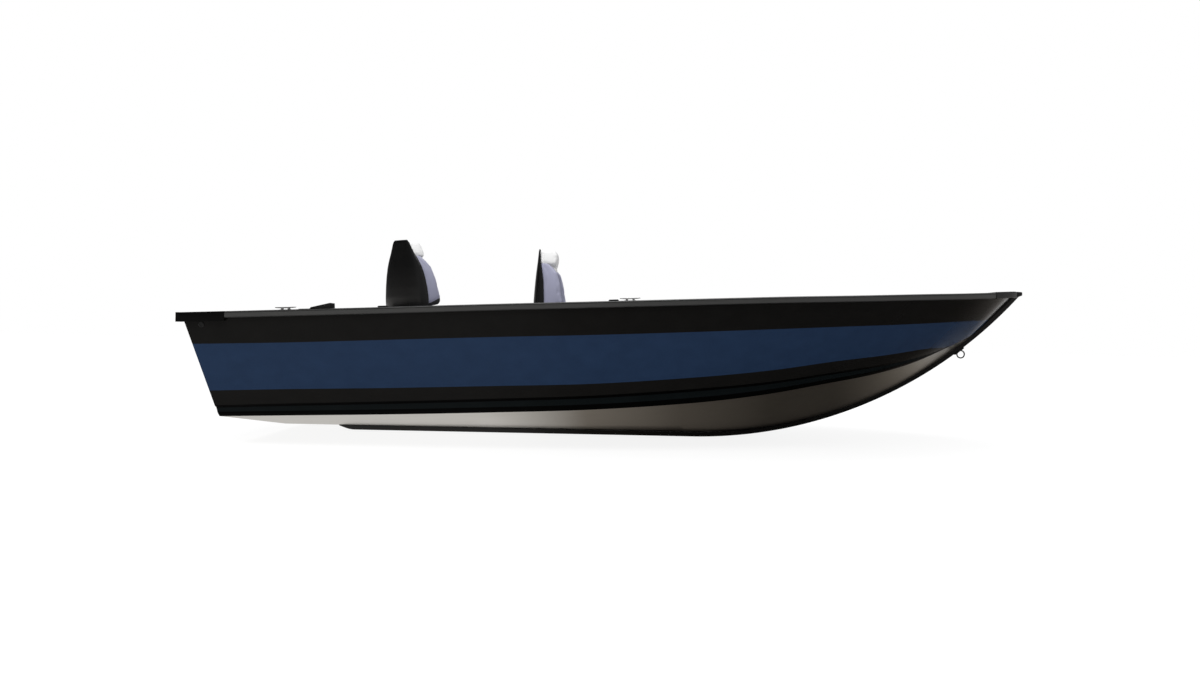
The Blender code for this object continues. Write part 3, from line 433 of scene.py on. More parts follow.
KEEL_DEPTH, KEEL_TOP_HALF, KEEL_FOOT_HALF = 0.032, 0.019, 0.012
STEM_START_X, STEM_TIP_X, STEM_TIP_Z = 3.10, 5.446, 1.081
STEM_RADIUS = ((STEM_TIP_X - STEM_START_X) ** 2 + STEM_TIP_Z**2) / (2 * STEM_TIP_Z)
STEM_CENTRE = Vector((STEM_START_X, 0, STEM_RADIUS))
HULL_RADIUS = STEM_RADIUS - KEEL_DEPTH
STEM_END_Z = 1.0585
RAKE = math.tan(math.radians(13.7))
TRANSOM_FOOT_X, CHINE_AFT_Z, SHEER_AFT_Z = 0.194, 0.175, 0.789
RAIL_LIP, RAIL_TOP, RAIL_WIDTH, RAIL_LEG, SIDE_WALL = 0.016, 0.008, 0.110, 0.012, 0.020


def transom_x(z):
    return TRANSOM_FOOT_X - (z - KEEL_DEPTH) * RAKE


Station = namedtuple("Station", "keel_x chine_x chine_y chine_z sheer_x sheer_y sheer_z rib low high")
OFFSETS = (
    Station(
        TRANSOM_FOOT_X, transom_x(CHINE_AFT_Z), 0.925, CHINE_AFT_Z,
        transom_x(SHEER_AFT_Z), 1.125, SHEER_AFT_Z, 0.060, 0.332, 0.608,
    ),
    Station(0.60, 0.60, 0.950, 0.191, 0.60, 1.148, 0.815, 0.066, 0.352, 0.627),
    Station(1.20, 1.20, 0.965, 0.211, 1.20, 1.168, 0.842, 0.072, 0.372, 0.655),
    Station(1.80, 1.80, 0.970, 0.235, 1.80, 1.178, 0.871, 0.076, 0.396, 0.683),
    Station(2.40, 2.40, 0.955, 0.263, 2.40, 1.180, 0.898, 0.078, 0.421, 0.708),
    Station(3.00, 3.00, 0.890, 0.309, 3.00, 1.168, 0.926, 0.080, 0.468, 0.738),
    Station(3.45, 3.45, 0.790, 0.362, 3.50, 1.130, 0.950, 0.073, 0.516, 0.765),
    Station(3.85, 3.85, 0.650, 0.427, 3.95, 1.052, 0.970, 0.065, 0.574, 0.790),
    Station(4.22, 4.22, 0.500, 0.490, 4.35, 0.925, 0.992, 0.057, 0.618, 0.812),
    Station(4.55, 4.55, 0.325, 0.569, 4.70, 0.755, 1.013, 0.040, 0.662, 0.835),
    Station(4.83, 4.83, 0.175, 0.670, 5.00, 0.540, 1.036, 0.012, 0.680, 0.855),
    Station(5.02, 5.02, 0.078, 0.745, 5.22, 0.320, 1.056, 0.008, 0.754, 0.868),
    Station(5.112, 5.126, 0.012, 0.806, 5.385, 0.034, 1.072, 0.005, 0.812, 0.880),
)
LAST = len(OFFSETS) - 1
PLACES = [i / 8 for i in range(LAST * 8 + 1)]


def station_at(place):
    index = min(max(int(place), 0), LAST - 1)
    t = place - index
    rows = [OFFSETS[min(max(index + step, 0), LAST)] for step in (-1, 0, 1, 2)]
    values = []
    for before, start, end, after in zip(*rows):
        cube = 3 * start - before - 3 * end + after
        square = 2 * before - 5 * start + 4 * end - after
        values.append(start + 0.5 * t * (end - before + t * (square + t * cube)))
    return Station(*values)


def plan_normal(place, line):
    near, far = station_at(max(place - 0.25, 0)), station_at(min(place + 0.25, LAST))
    x, y = (getattr(far, line + axis) - getattr(near, line + axis) for axis in ("_x", "_y"))
    return Vector((-y, x, 0)).normalized()


def chine_point(place, out=0.0, up=0.0):
    station = station_at(place)
    edge = Vector((station.chine_x, station.chine_y, station.chine_z + up))
    return edge + plan_normal(place, "chine") * out


def sheer_point(place, inward=0.0, down=0.0):
    station = station_at(place)
    edge = Vector((station.sheer_x, station.sheer_y, station.sheer_z - down))
    return edge - plan_normal(place, "sheer") * inward


def on_line(start, end, z):
    return start.lerp(end, (z - start.z) / (end.z - start.z))


def place_of_sheer(x):
    low, high = 0.0, float(LAST)
    for _ in range(40):
        middle = (low + high) / 2
        low, high = (middle, high) if station_at(middle).sheer_x < x else (low, middle)
    return low


def keel_z(x):
    if x <= STEM_START_X:
        return KEEL_DEPTH
    return STEM_RADIUS - math.sqrt(HULL_RADIUS**2 - (x - STEM_START_X) ** 2)


def stem_x(z, radius):
    """Where the stem's arc of that radius stands at height z."""
    return STEM_START_X + math.sqrt(radius**2 - (STEM_RADIUS - z) ** 2)


def stem_out(angle):
    """The way out of the stem's arc, at an angle from straight down."""
    return Vector((math.sin(angle), 0, -math.cos(angle)))


def flared(place, out, up):
    edge = chine_point(place)
    top = sheer_point(place, RAIL_LIP + GAP, RAIL_TOP + GAP)
    return on_line(edge, top, edge.z + up) + plan_normal(place, "chine") * out


# Hull


def side_section(place):
    """Seam, pressed rib, lower black, blue band, upper black, and the plain inside."""
    station = station_at(place)
    swell = station.rib / 0.080
    top = sheer_point(place, RAIL_LIP + GAP, RAIL_TOP + GAP)
    foot = flared(place, 0.006 + 0.011 * swell, station.rib * 1.06)
    points = [
        chine_point(place, GAP),
        chine_point(place, 0.006),
        flared(place, 0.006 + 0.0093 * swell, station.rib * 0.35),
        flared(place, 0.006 - 0.001 * swell, station.rib * 0.94),
        foot,
        on_line(foot, top, station.low),
        on_line(foot, top, station.high),
        top,
        sheer_point(place, RAIL_LIP + GAP + SIDE_WALL, RAIL_TOP + GAP),
        chine_point(place, GAP, 0.0166),
    ]
    return rounded(points, (0, 0.003, 0.007, 0.003, 0.005, 0, 0, 0, 0, 0))


def add_sides():
    # Slots round the section: seam and undercut, rib face, step, all three in painted shade, then black below
    # the blue band and above it, inside.
    black, blue, inside, rib, seam = range(5)
    looks = [BLACK_PAINT, BLUE_PAINT, LINER_COAT, RIB_PAINTED_SHADE, SEAM_AND_UNDERCUT_SHADE]
    # The seam and rib slots carry painted shade on the undercut, the rib face and the step.
    slots = [seam] * 8 + [rib] + [seam] * 7 + [black, blue, black, black, inside, inside]
    rings = [side_section(place) for place in PLACES]
    for side, sign in SIDES:
        bm = loft(bmesh.new(), on_side(rings, sign), materials=slots)
        piece("side_skin_" + side, bm, looks, replaces=["hull_side_" + side])


def add_bottom():
    # Towards the bow the plating comes further down the keel bar. Columns: x, how far.
    lower = ((3.3, 0), (4.5, 0.011), (5.2, 0.009))
    lift = Vector((0, 0, 0.016))
    rings = []
    for place in PLACES:
        x = station_at(place).keel_x
        angle = math.asin(max(x - STEM_START_X, 0) / HULL_RADIUS)
        keel = Vector((x, 0, keel_z(x))) + stem_out(angle) * between(lower, x)
        edge = chine_point(place)
        (edge_far,) = mirrored([edge])
        run = [keel.lerp(edge, t) for t in (0, 0.25, 0.5, 0.75, 1)]
        back = [edge_far.lerp(keel, t) for t in (0, 0.25, 0.5, 0.75)]
        rings.append(run + [edge + lift, keel + lift, edge_far + lift] + back)
    metal, coat = 0, 1
    bm = loft(bmesh.new(), rings, materials=[metal] * 5 + [coat] * 2 + [metal] * 5)
    piece("bottom_skin", bm, [BARE_METAL, LINER_COAT], replaces=["hull_bottom"])


def add_stem_plate():
    """A plate that closes the stem between the ends of the two sides."""
    last = station_at(LAST)
    low, high = last.chine_z + 0.006, STEM_END_Z - 0.002
    rings = []
    for i in range(17):
        z = low + (high - low) * i / 16
        share = (z - last.chine_z) / (last.sheer_z - last.chine_z)
        half = last.chine_y + (last.sheer_y - last.chine_y) * share - 0.0015
        front = Vector((stem_x(z, HULL_RADIUS), half, z))
        back = front - Vector((0.026, 0, 0))
        rings.append([front, *mirrored([front, back]), back])
    piece("stem_plate", loft(bmesh.new(), rings), [BLACK_PAINT])


def keel_ring(top, foot):
    """The bar's section between two points on the centreline."""
    wide, narrow = Vector((0, KEEL_TOP_HALF, 0)), Vector((0, KEEL_FOOT_HALF, 0))
    return rounded([top + wide, top - wide, foot - narrow, foot + narrow], (0, 0, 0.006, 0.006))


def add_keel():
    full = KEEL_DEPTH - GAP
    down = stem_out(0)
    spots = []
    for i in range(7):
        t = i / 6
        depth = full * (0.10 + 0.90 * math.sin(t * math.pi / 2))
        spots.append((Vector((0.58 + 0.11 * t, 0, KEEL_DEPTH)), down, depth))
    spots += [(Vector((x, 0, KEEL_DEPTH)), down, full) for x in (0.9, 1.3, 1.8, 2.3, 2.8)]
    last = math.acos((STEM_RADIUS - STEM_END_Z + full) / HULL_RADIUS)
    for i in range(61):
        out = stem_out(last * i / 60)
        spots.append((STEM_CENTRE + out * HULL_RADIUS, out, full))
    rings = [keel_ring(spot + out * GAP, spot + out * (GAP + depth)) for spot, out, depth in spots]
    # The upper end is cut level under the bow cap.
    ends = [stem_x(STEM_END_Z, radius) for radius in (HULL_RADIUS + GAP, STEM_RADIUS)]
    rings.append(keel_ring(*(Vector((x, 0, STEM_END_Z)) for x in ends)))
    piece("keel_strip", loft(bmesh.new(), rings), [KEEL_COAT], replaces=["keel_bar"])


def rail_section(place):
    """Outer lip with a groove under its rounded shoulder, a padded top insert, and an inner leg."""
    leg = RAIL_WIDTH - RAIL_LEG
    section = (
        (0.0, 0.004, 0.003), (0.006, 0.0, 0.003), (0.012, 0.0, 0), (0.014, -0.0015, 0.001),
        (0.086, -0.0015, 0.001), (0.088, 0.0, 0), (RAIL_WIDTH - 0.004, 0.0, 0.003),
        (RAIL_WIDTH, 0.004, 0.003), (RAIL_WIDTH, 0.045, 0.002), (leg, 0.045, 0.002), (leg, RAIL_TOP, 0),
        (RAIL_LIP, RAIL_TOP, 0), (RAIL_LIP, 0.037, 0.002), (0.003, 0.037, 0.002), (0.003, 0.034, 0),
        (0.0, 0.033, 0), (0.0, 0.0095, 0), (0.0025, 0.0088, 0), (0.0025, 0.0067, 0), (0.0, 0.006, 0),
    )
    points = [sheer_point(place, inward, down) for inward, down, _ in section]
    return rounded(points, [radius for *_, radius in section], steps=2)


def add_rails():
    start, end = place_of_sheer(0.27), place_of_sheer(4.99)
    places = [start, *[place for place in PLACES if start + 0.05 < place < end - 0.05], end]
    rings = [rail_section(place) for place in places]
    metal, insert = 0, 1
    # The padded top runs from the shoulder's rise to its fall. The groove and the lip's foot take its black
    # too, as painted shade in the recess and under the lip.
    flat = [point - sheer_point(start) for point in rings[0]]
    slots = []
    for i, point in enumerate(flat):
        middle = (point + flat[(i + 1) % len(flat)]) / 2
        across = -middle.dot(plan_normal(start, "sheer"))
        top = -middle.z < 0.002 and across < 0.089
        groove = across < 0.004 and (0.0060 < -middle.z < 0.0095 or -middle.z > 0.0332)
        slots.append(insert if top or groove else metal)
    for side, sign in SIDES:
        bm = loft(bmesh.new(), on_side(rings, sign), materials=slots)
        piece("rail_" + side, bm, [RAIL_METAL, RAIL_INSERT_AND_SHADE], replaces=["gunwale_" + side])


def bow_cap_section(place, lip, forward=0.0, narrow=1.0):
    section = ((0.0369, 0.008), (0.016, 0.008), (0.016, lip), (-0.004, lip), (-0.004, -0.006))
    port = [sheer_point(place, inward, down) for inward, down in section]
    port = [Vector((p.x + forward, p.y * narrow, p.z)) for p in port]
    middle = Vector((port[-1].x, 0, port[-1].z + 0.004 * narrow))
    points = [*port, middle, *reversed(mirrored(port))]
    return rounded(points, (0, 0, 0.003, 0.003, 0.009, 0, 0.009, 0.003, 0.003, 0, 0))


def add_bow_cap():
    start = place_of_sheer(4.9903)
    places = [start, *[place for place in PLACES if place > start + 0.04]]
    rings = [bow_cap_section(place, 0.037) for place in places]
    nose = STEM_TIP_X - 0.008 - sheer_point(LAST, -0.004).x
    tapers = ((0.35, 0.027, 0.95), (0.65, 0.022, 0.85), (0.88, 0.018, 0.66), (1.0, 0.014, 0.35))
    rings += [bow_cap_section(LAST, lip, nose * step, narrow) for step, lip, narrow in tapers]
    piece("bow_cover", loft(bmesh.new(), rings), [BLACK_TRIM], replaces=["bow_cap"])


# Seats, in a frame with its origin on the floor under the swivel and X the way the seat faces

FLOOR_Z = 0.300
SEAT_HINGE_X, SEAT_HINGE_Z = -0.150, 0.555
SEAT_EAR_Y = 0.2048
SEATS = (("seat_front", 2.285, 0.03, -3.0, 0.0), ("seat_rear", 1.306, -0.234, 56.0, 5.0))

# A seat back's outline, as in the part's source: height, the shell's half-width, its rear and its front
BackRow = namedtuple("BackRow", "z half aft split")
BACK_ROWS = [BackRow(*row) for row in (
    (0.430, 0.140, -0.300, -0.262), (0.450, 0.160, -0.316, -0.262), (0.520, 0.174, -0.328, -0.262),
    (0.600, 0.179, -0.333, -0.262), (0.640, 0.178, -0.333, -0.262), (0.710, 0.171, -0.329, -0.265),
    (0.780, 0.160, -0.324, -0.268), (0.840, 0.145, -0.319, -0.272), (0.887, 0.126, -0.314, -0.277),
    (0.930, 0.103, -0.310, -0.283), (0.975, 0.082, -0.306, -0.289), (1.000, 0.070, -0.304, -0.292),
    (1.016, 0.056, -0.301, -0.293),
)]
PAD_VOXEL = 0.007
# How far a pad starts inside its final size, and how far it stays inside the shell's edge.
PAD_START, PAD_INSET = 0.004, 0.004
PAD_PRESSURE, PAD_FRAMES = 4, 20
SEAM_DEPTH, SEAM_WIDTH = 0.0022, 0.006
BASE_PANEL_HALF, BASE_SEAM_Z = 0.118, 0.455


def back_at(z):
    rows = [[getattr(row, name) for row in BACK_ROWS] for name in BackRow._fields]
    return BackRow(z, *(float(np.interp(z, rows[0], row)) for row in rows[1:]))


def back_shell():
    """The moulded shell, round behind and dished in front, with wings beside the bolsters and hinge lugs."""
    bm = bmesh.new()
    wings = ((0.430, 0.002), (0.520, 0.014), (0.700, 0.019), (0.800, 0.015), (0.900, 0.005), (0.940, 0.0005))
    low, high = BACK_ROWS[0].z, BACK_ROWS[-1].z
    rings = []
    for i in range(61):
        t = i / 60
        z = low + (high - low) * (t - math.sin(2 * math.pi * t) / (2 * math.pi) * 0.6)
        row = back_at(z)
        shrink = 1 - 0.05 * (math.exp(-(z - low) / 0.004) + math.exp(-(high - z) / 0.004))
        edge = row.split - 0.003
        tip, wide = row.split + between(wings, z), row.half * shrink + 0.0035
        ring = [Vector((x, wide - less, z)) for x, less in ((row.split, 0.010), (tip, 0.0055), (tip, 0.001))]
        for k in range(29):
            turn = math.pi * k / 28
            across = math.copysign(abs(math.cos(turn)) ** 0.82, math.cos(turn))
            behind = abs(math.sin(turn)) ** 0.82 * shrink
            ring.append(Vector((edge - (edge - row.aft) * behind, wide * across, z)))
        rings.append(ring + mirrored(reversed(ring[:3])))
    loft(bm, rings)
    for _, sign in SIDES:
        for x0, x1, near in ((-0.295, -0.2625, 0.150), (-0.293, -0.138, 0.1908)):
            y0, y1 = sorted((sign * near, sign * 0.2045))
            box(bm, (x0, y0, SEAT_HINGE_Z - 0.02), (x1, y1, SEAT_HINGE_Z + 0.02), 0.003)
    return bm


def back_pad(front, levels, corner):
    """A pad on the shell through (z, y0, y1) levels. front gives its face by height."""
    rings = []
    for z, y0, y1 in levels:
        x0, x1 = back_at(z).split + 0.001, between(front, z) - PAD_START
        points = [Vector((x, y, z)) for x, y in ((x0, y0), (x0, y1), (x1, y1), (x1, y0))]
        reach = min(corner, (x1 - x0) * 0.45, (y1 - y0) * 0.45)
        behind = min(0.004, reach)
        rings.append(rounded(points, (behind, behind, reach, reach), steps=4))
    return loft(bmesh.new(), rings)


def centre_pad():
    """The white middle panel and the headrest above it."""
    half = ((0.588, 0.116), (0.780, 0.098), (0.850, 0.080), (0.885, 0.074), (0.915, 0.100), (0.935, 0.094),
            (0.975, 0.074), (1.000, 0.062), (1.012, 0.048))
    front = ((0.588, -0.174), (0.70, -0.170), (0.86, -0.178), (0.895, -0.172), (0.93, -0.165),
             (0.975, -0.163), (1.000, -0.175), (1.012, -0.195))
    heights = (0.588, 0.592, 0.62, 0.70, 0.78, 0.85, 0.885, 0.90, 0.915, 0.935, 0.955, 0.975, 0.99, 1.000,
               1.008, 1.012)
    sides = [(z, between(half, z) - PAD_START) for z in heights]
    return back_pad(front, [(z, -side, side) for z, side in sides], 0.03)


def bolster_pad(sign):
    """One side bolster, its foot wrapped in black under a slanted seam."""
    front = ((0.588, -0.135), (0.605, -0.116), (0.635, -0.111), (0.76, -0.128), (0.844, -0.153),
             (0.880, -0.184), (0.905, -0.216), (0.915, -0.242))
    width = ((0.588, 0.052), (0.78, 0.052), (0.86, 0.046), (0.915, 0.020))
    levels = []
    for z in (0.588, 0.594, 0.605, 0.635, 0.68, 0.72, 0.76, 0.80, 0.844, 0.865, 0.880, 0.893, 0.905, 0.912):
        outer = back_at(z).half - PAD_INSET - PAD_START
        inner = outer - between(width, z) + PAD_START
        levels.append((z, *sorted((sign * inner, sign * outer))))
    return back_pad(front, levels, 0.018)


def foot_pad():
    """The black wrap across the foot of the back."""
    front = ((0.433, -0.212), (0.455, -0.198), (0.520, -0.182), (0.586, -0.174))
    levels = []
    for z in (0.434, 0.438, 0.450, 0.480, 0.520, 0.560, 0.580, 0.584):
        half = back_at(z).half - PAD_INSET - PAD_START
        levels.append((z, -half, half))
    return back_pad(front, levels, 0.03)


def seat_pad():
    """The cushion that lies on the pan."""
    rings = []
    for z, inset in ((0.4015, 0.004), (0.410, 0.0), (0.475, 0.0), (0.487, 0.004), (0.4935, 0.016)):
        less = PAD_START + inset
        x0, x1, half = -0.164 + less, 0.256 - less, 0.2008 - less
        points = [Vector((x, y, z)) for x, y in ((x0, -half), (x1, -half), (x1, half), (x0, half))]
        rings.append(rounded(points, [0.05 - inset * 0.5] * 4, steps=6))
    return loft(bmesh.new(), rings)


def corners_of(mesh):
    flat = np.empty(len(mesh.vertices) * 3)
    mesh.vertices.foreach_get("co", flat)
    return flat.reshape(-1, 3)


def filled(bm, cap, held):
    """The pad's form swollen by the pressure of its foam. held(point) is true where it rests on something."""
    made = add_object("pad", mesh_of("pad", bm, ()))
    grid = made.modifiers.new("grid", "REMESH")
    grid.mode = "VOXEL"
    grid.voxel_size = PAD_VOXEL
    graph = bpy.context.evaluated_depsgraph_get()
    made.data = bpy.data.meshes.new_from_object(made.evaluated_get(graph))
    made.modifiers.clear()
    before = corners_of(made.data)
    pins = made.vertex_groups.new(name="pins")
    pins.add([i for i, point in enumerate(before) if held(point)], 1.0, "REPLACE")
    cloth = made.modifiers.new("fill", "CLOTH")
    cloth.settings.use_pressure = True
    cloth.settings.uniform_pressure_force = PAD_PRESSURE
    cloth.settings.effector_weights.gravity = 0
    cloth.settings.vertex_group_mass = "pins"
    cloth.settings.quality = 5
    for number in range(1, PAD_FRAMES + 1):
        bpy.context.scene.frame_set(number)
    graph = bpy.context.evaluated_depsgraph_get()
    move = corners_of(made.evaluated_get(graph).to_mesh()) - before
    length = np.linalg.norm(move, axis=1, keepdims=True)
    limit = cap * np.tanh(length / cap)
    after = before + move / np.maximum(length, 1e-9) * limit
    made.evaluated_get(graph).to_mesh_clear()
    made.modifiers.clear()
    made.data.vertices.foreach_set("co", after.reshape(-1))
    bpy.context.scene.frame_set(1)
    bm = bmesh.new()
    bm.from_mesh(made.data)
    bpy.data.objects.remove(made)
    return bm


def sewn(bm, looks, seams, region, channels=()):
    """Cuts the cover along its seams, colours its panels, and draws seams and channels in.
    seams are (point, normal) planes. channels are (point, normal, depth, width, mask), and mask(point) says
    where they run."""
    for point, normal in seams:
        # Points that lie beside the seam are drawn onto it, so that the cut leaves no slivers.
        way = Vector(normal).normalized()
        for vert in bm.verts:
            away = (vert.co - Vector(point)).dot(way)
            if abs(away) < PAD_VOXEL * 0.35:
                vert.co -= way * away
        everything = [*bm.verts, *bm.edges, *bm.faces]
        bmesh.ops.bisect_plane(bm, geom=everything, dist=0.00002, plane_co=point, plane_no=normal)
    bm.normal_update()
    for face in bm.faces:
        face.material_index = region(face.calc_center_median())
    lines = [(*seam, SEAM_DEPTH, SEAM_WIDTH, None) for seam in seams] + list(channels)
    lines = [(Vector(point), Vector(normal).normalized(), *rest) for point, normal, *rest in lines]
    moves = []
    for vert in bm.verts:
        depth = 0.0
        for point, normal, most, width, mask in lines:
            away = (vert.co - point).dot(normal)
            if abs(away) > width * 3 or (mask and not mask(vert.co)):
                continue
            depth = max(depth, most * math.exp(-((away / width) ** 2)))
        moves.append(depth)
    for vert, depth in zip(bm.verts, moves):
        vert.co -= vert.normal * depth
    return mesh_of("cover", bm, looks, 180)


def within(low, high):
    """A mask that holds between two corners."""
    return lambda place: all(start < at < end for start, at, end in zip(low, place, high))


def plane(axis, at):
    """The (point, normal) plane square to an axis, at a distance along it."""
    normal = Matrix.Identity(3)["xyz".index(axis)]
    return normal * at, normal


def on_shell(point):
    return point[0] < back_at(point[2]).split + 0.012


def on_pan(point):
    return point[2] < 0.412


def base_panel(place):
    """The cushion's panel: black below its seam, white between its side seams, gray outside them."""
    gray_side, white_middle, black_foot = range(3)
    if place.z < BASE_SEAM_Z:
        return black_foot
    return white_middle if abs(place.y) < BASE_PANEL_HALF else gray_side


def seat_covers():
    """Each soft form is made once and used on both seats. Values: mesh, part it rides on, fill."""
    made = {}
    upright = within((-0.20, -1, 0.615), (1, 1, 0.868))
    rows = [(*plane("y", y), 0.006, 0.0065, upright) for y in (-0.06, -0.02, 0.02, 0.06)]
    brow = [(*plane("z", 0.882), 0.005, 0.007, None)]
    bm = filled(centre_pad(), 0.010, on_shell)
    made["centre"] = sewn(bm, [VINYL_WHITE], (), lambda place: 0, rows + brow), "back", 0.75
    slant = Vector((-0.155, 0, -0.048)).normalized()
    below = Vector((slant.z, 0, -slant.x))
    start = Vector((-0.107, 0, 0.640))
    for side, sign in SIDES:
        bm = filled(bolster_pad(sign), 0.008, on_shell)
        region = lambda place: 0 if (place - start).dot(below) > 0 else 1
        cover = sewn(bm, [VINYL, VINYL_BLACK], ((start, below),), region)
        made["bolster_" + side] = cover, "back", 0.8
    bm = filled(foot_pad(), 0.008, on_shell)
    made["foot"] = sewn(bm, [VINYL_BLACK], (), lambda place: 0), "back", 0.7
    seams = [plane("y", BASE_PANEL_HALF), plane("y", -BASE_PANEL_HALF), plane("z", BASE_SEAM_Z)]
    inside = within((-0.13, -0.110, 0.485), (0.19, 0.110, 1))
    rows = [(*plane("x", x), 0.006, 0.008, inside) for x in (-0.11, -0.05, 0.01, 0.07, 0.13)]
    bm = filled(seat_pad(), 0.012, on_pan)
    looks = [VINYL, VINYL_WHITE, VINYL_BLACK]
    made["base"] = sewn(bm, looks, seams, base_panel, rows), "seat", 0.75
    return made


def hinge_bolts():
    bm = bmesh.new()
    profile = [(0.010, 0), (0.010, 0.001), (0.0075, 0.0014), (0.0075, 0.005), (0.006, 0.0062)]
    for _, sign in SIDES:
        outward = Matrix.Rotation(math.radians(-90 * sign), 4, "X")
        spot = Matrix.Translation((SEAT_HINGE_X, sign * (SEAT_EAR_Y + 0.0102), SEAT_HINGE_Z)) @ outward
        turned(bm, profile, spot, 18)
    return bm


def swivel_lever():
    bm = bmesh.new()
    rod = [(0.03, -0.094, 0.350), (0.045, -0.125, 0.350), (0.06, -0.150, 0.345), (0.085, -0.170, 0.338)]
    tube(bm, rod, 0.005)
    return tube(bm, [(0.080, -0.166, 0.3395), (0.105, -0.184, 0.332)], 0.009, 14)


def pedestal_bolts():
    return heads(bmesh.new(), Matrix(), circle(0.098, 0.0124, 6, 30), 0.0065, 0.0045, 12)


def add_seats():
    covers = seat_covers()
    shell = mesh_of("shell", back_shell(), [SHELL], 40)
    bolts = mesh_of("hinge_bolts", hinge_bolts(), [STAINLESS])
    lever = mesh_of("lever", swivel_lever(), [BLACK_TRIM], 40)
    foot_bolts = mesh_of("pedestal_bolts", pedestal_bolts(), [STAINLESS], 180)
    hinge = Matrix.Translation((SEAT_HINGE_X, 0, SEAT_HINGE_Z))
    for name, x, y, turn, recline in SEATS:
        spot = Matrix.Translation(Vector((x, y, FLOOR_Z)) + TO_WORLD)
        base = spot @ Matrix.Rotation(math.radians(turn), 4, "Z")
        leaned = base @ hinge @ Matrix.Rotation(math.radians(-recline), 4, "Y") @ hinge.inverted()

        def placed(label, mesh, body, replaces=()):
            matrix = leaned if body.endswith("_back") else base
            return fitted(f"{name}_{label}", mesh, body, replaces, matrix)

        back = name + "_back"
        placed("moulded_back", shell, back, [back + "_shell"])
        placed("hinge_bolts", bolts, name)
        for label, (mesh, part, fill) in covers.items():
            replaced = {"centre": [back + "_cushion"], "base": [name + "_cushion"]}.get(label, ())
            body = back if part == "back" else name
            made = placed(label + "_pad", mesh, body, replaced)
            smooth = made.modifiers.new("smooth", "SUBSURF")
            smooth.levels = smooth.render_levels = 1
        placed("swivel_lever", lever, name)
        placed("pedestal_bolts", foot_bolts, "hull")


# Fittings and trim

BOW_EYE_ANGLE, BOW_EYE_RADIUS = math.radians(38.05), 0.0265
STERN_EYE_Y, STERN_EYE_Z = 0.62, 0.40
AFT_DECK_Z, BOW_DECK_Z, LOCKER_Z = 0.580, 0.660, 0.620
LOCKER_HINGE_START, LOCKER_HINGE_END = Vector((0.955, 0.9328, 0.619)), Vector((2.745, 0.9328, 0.619))
EDGING_REAR, EDGING_FRONT = -0.0030, 0.0480
DRAIN_Z = 0.105
MOTOR_PAD_TOP, MOTOR_PAD_HEIGHT = 0.665, 0.355
RIVET_START_X, RIVET_STEP, RIVETS = 0.45, 0.22, 20


def rail_frame(x, sign, inward):
    """A frame on the rail's top at x, with its own X along the rail and Z square to it."""
    place = place_of_sheer(x)
    spot = sheer_point(place, inward)
    ahead = sheer_point(place + 0.1, inward)
    along = Vector((ahead.x - spot.x, sign * (ahead.y - spot.y), ahead.z - spot.z)).normalized()
    across = Vector((0, 0, 1)).cross(along).normalized()
    up = along.cross(across)
    made = Matrix((along, across, up)).transposed().to_4x4()
    made.translation = Vector((spot.x, sign * spot.y, spot.z)) + up * GAP
    return made


def face_frame(spot, up, out):
    """A frame on a face, with its own X up the face and Z out of it."""
    up, out = up.normalized(), out.normalized()
    made = Matrix((up, out.cross(up), out)).transposed().to_4x4()
    made.translation = spot
    return made


def transom_frame(y, z, off=0.0):
    """A frame on the transom's rear face, or off it by a distance."""
    up, out = Vector((-RAKE, 0, 1)), Vector((-1, 0, -RAKE)).normalized()
    return face_frame(Vector((transom_x(z), y, z)) + out * off, up, out)


def add_cleats():
    # Half of the horn, from its middle to its end. Columns: share of its half-length, height, half-width,
    # half-height.
    half = (
        (0.0, 0.0132, 0.0066, 0.0038), (0.35, 0.0135, 0.0062, 0.0036), (0.7, 0.0143, 0.0050, 0.0030),
        (0.96, 0.0152, 0.0035, 0.0022), (1.0, 0.0155, 0.0015, 0.0010),
    )
    horn = [(-share, *rest) for share, *rest in reversed(half[1:])] + list(half)
    for name, x, length in (("cleat_stern", 0.61, 0.125), ("cleat_mid", 2.60, 0.12)):
        for side, sign in SIDES:
            at = rail_frame(x, sign, 0.040)
            bm = box(bmesh.new(), (-0.034, -0.0115, 0), (0.034, 0.0115, 0.0028), 0.0012, at)
            for x0 in (-0.026, 0.013):
                box(bm, (x0, -0.0065, 0.0025), (x0 + 0.013, 0.0065, 0.0125), 0.002, at)
            rings = []
            for share, z, wide, tall in horn:
                spots = [(share * length / 2, wide * math.cos(a), z + tall * math.sin(a)) for a in angles(14)]
                rings.append([at @ Vector(spot) for spot in spots])
            loft(bm, rings)
            heads(bm, at, [(x0, 0, 0.0027) for x0 in (-0.030, 0.030)], 0.0030, 0.0014)
            piece(f"{name}_{side}_cast", bm, [ALLOY], replaces=[f"{name}_{side}"])


def add_eyes():
    out = stem_out(BOW_EYE_ANGLE)
    along = Vector((math.cos(BOW_EYE_ANGLE), 0, math.sin(BOW_EYE_ANGLE)))
    at = face_frame(STEM_CENTRE + out * (STEM_RADIUS + GAP), along, out)
    bm = box(bmesh.new(), (-0.046, -0.0118, 0), (0.034, 0.0118, 0.0075), 0.002, at)
    ring = [Vector((math.cos(a), 0, math.sin(a))) * BOW_EYE_RADIUS for a in angles(40)]
    tube(bm, [at @ (point + Vector((-0.010, 0, 0.0285))) for point in ring], 0.0044, 12, looped=True)
    piece("bow_eye_bar", bm, [BLACK_TRIM], replaces=["bow_eye"])
    for side, sign in SIDES:
        at = transom_frame(sign * STERN_EYE_Y, STERN_EYE_Z, GAP)
        bm = box(bmesh.new(), (-0.039, -0.0195, 0), (0.039, 0.0195, 0.0055), 0.002, at)
        turns = [math.pi * i / 24 for i in range(25)]
        bar = [at @ Vector((0.025 * math.cos(a), 0, 0.003 + 0.037 * math.sin(a))) for a in turns]
        tube(bm, bar, 0.0046, 12)
        screws = [(x0, y0, 0.0054) for x0 in (-0.033, 0.033) for y0 in (0.013, -0.013)]
        heads(bm, at, screws, 0.0035, 0.0016)
        piece(f"stern_eye_{side}_bar", bm, [STAINLESS], replaces=["stern_eye_" + side])


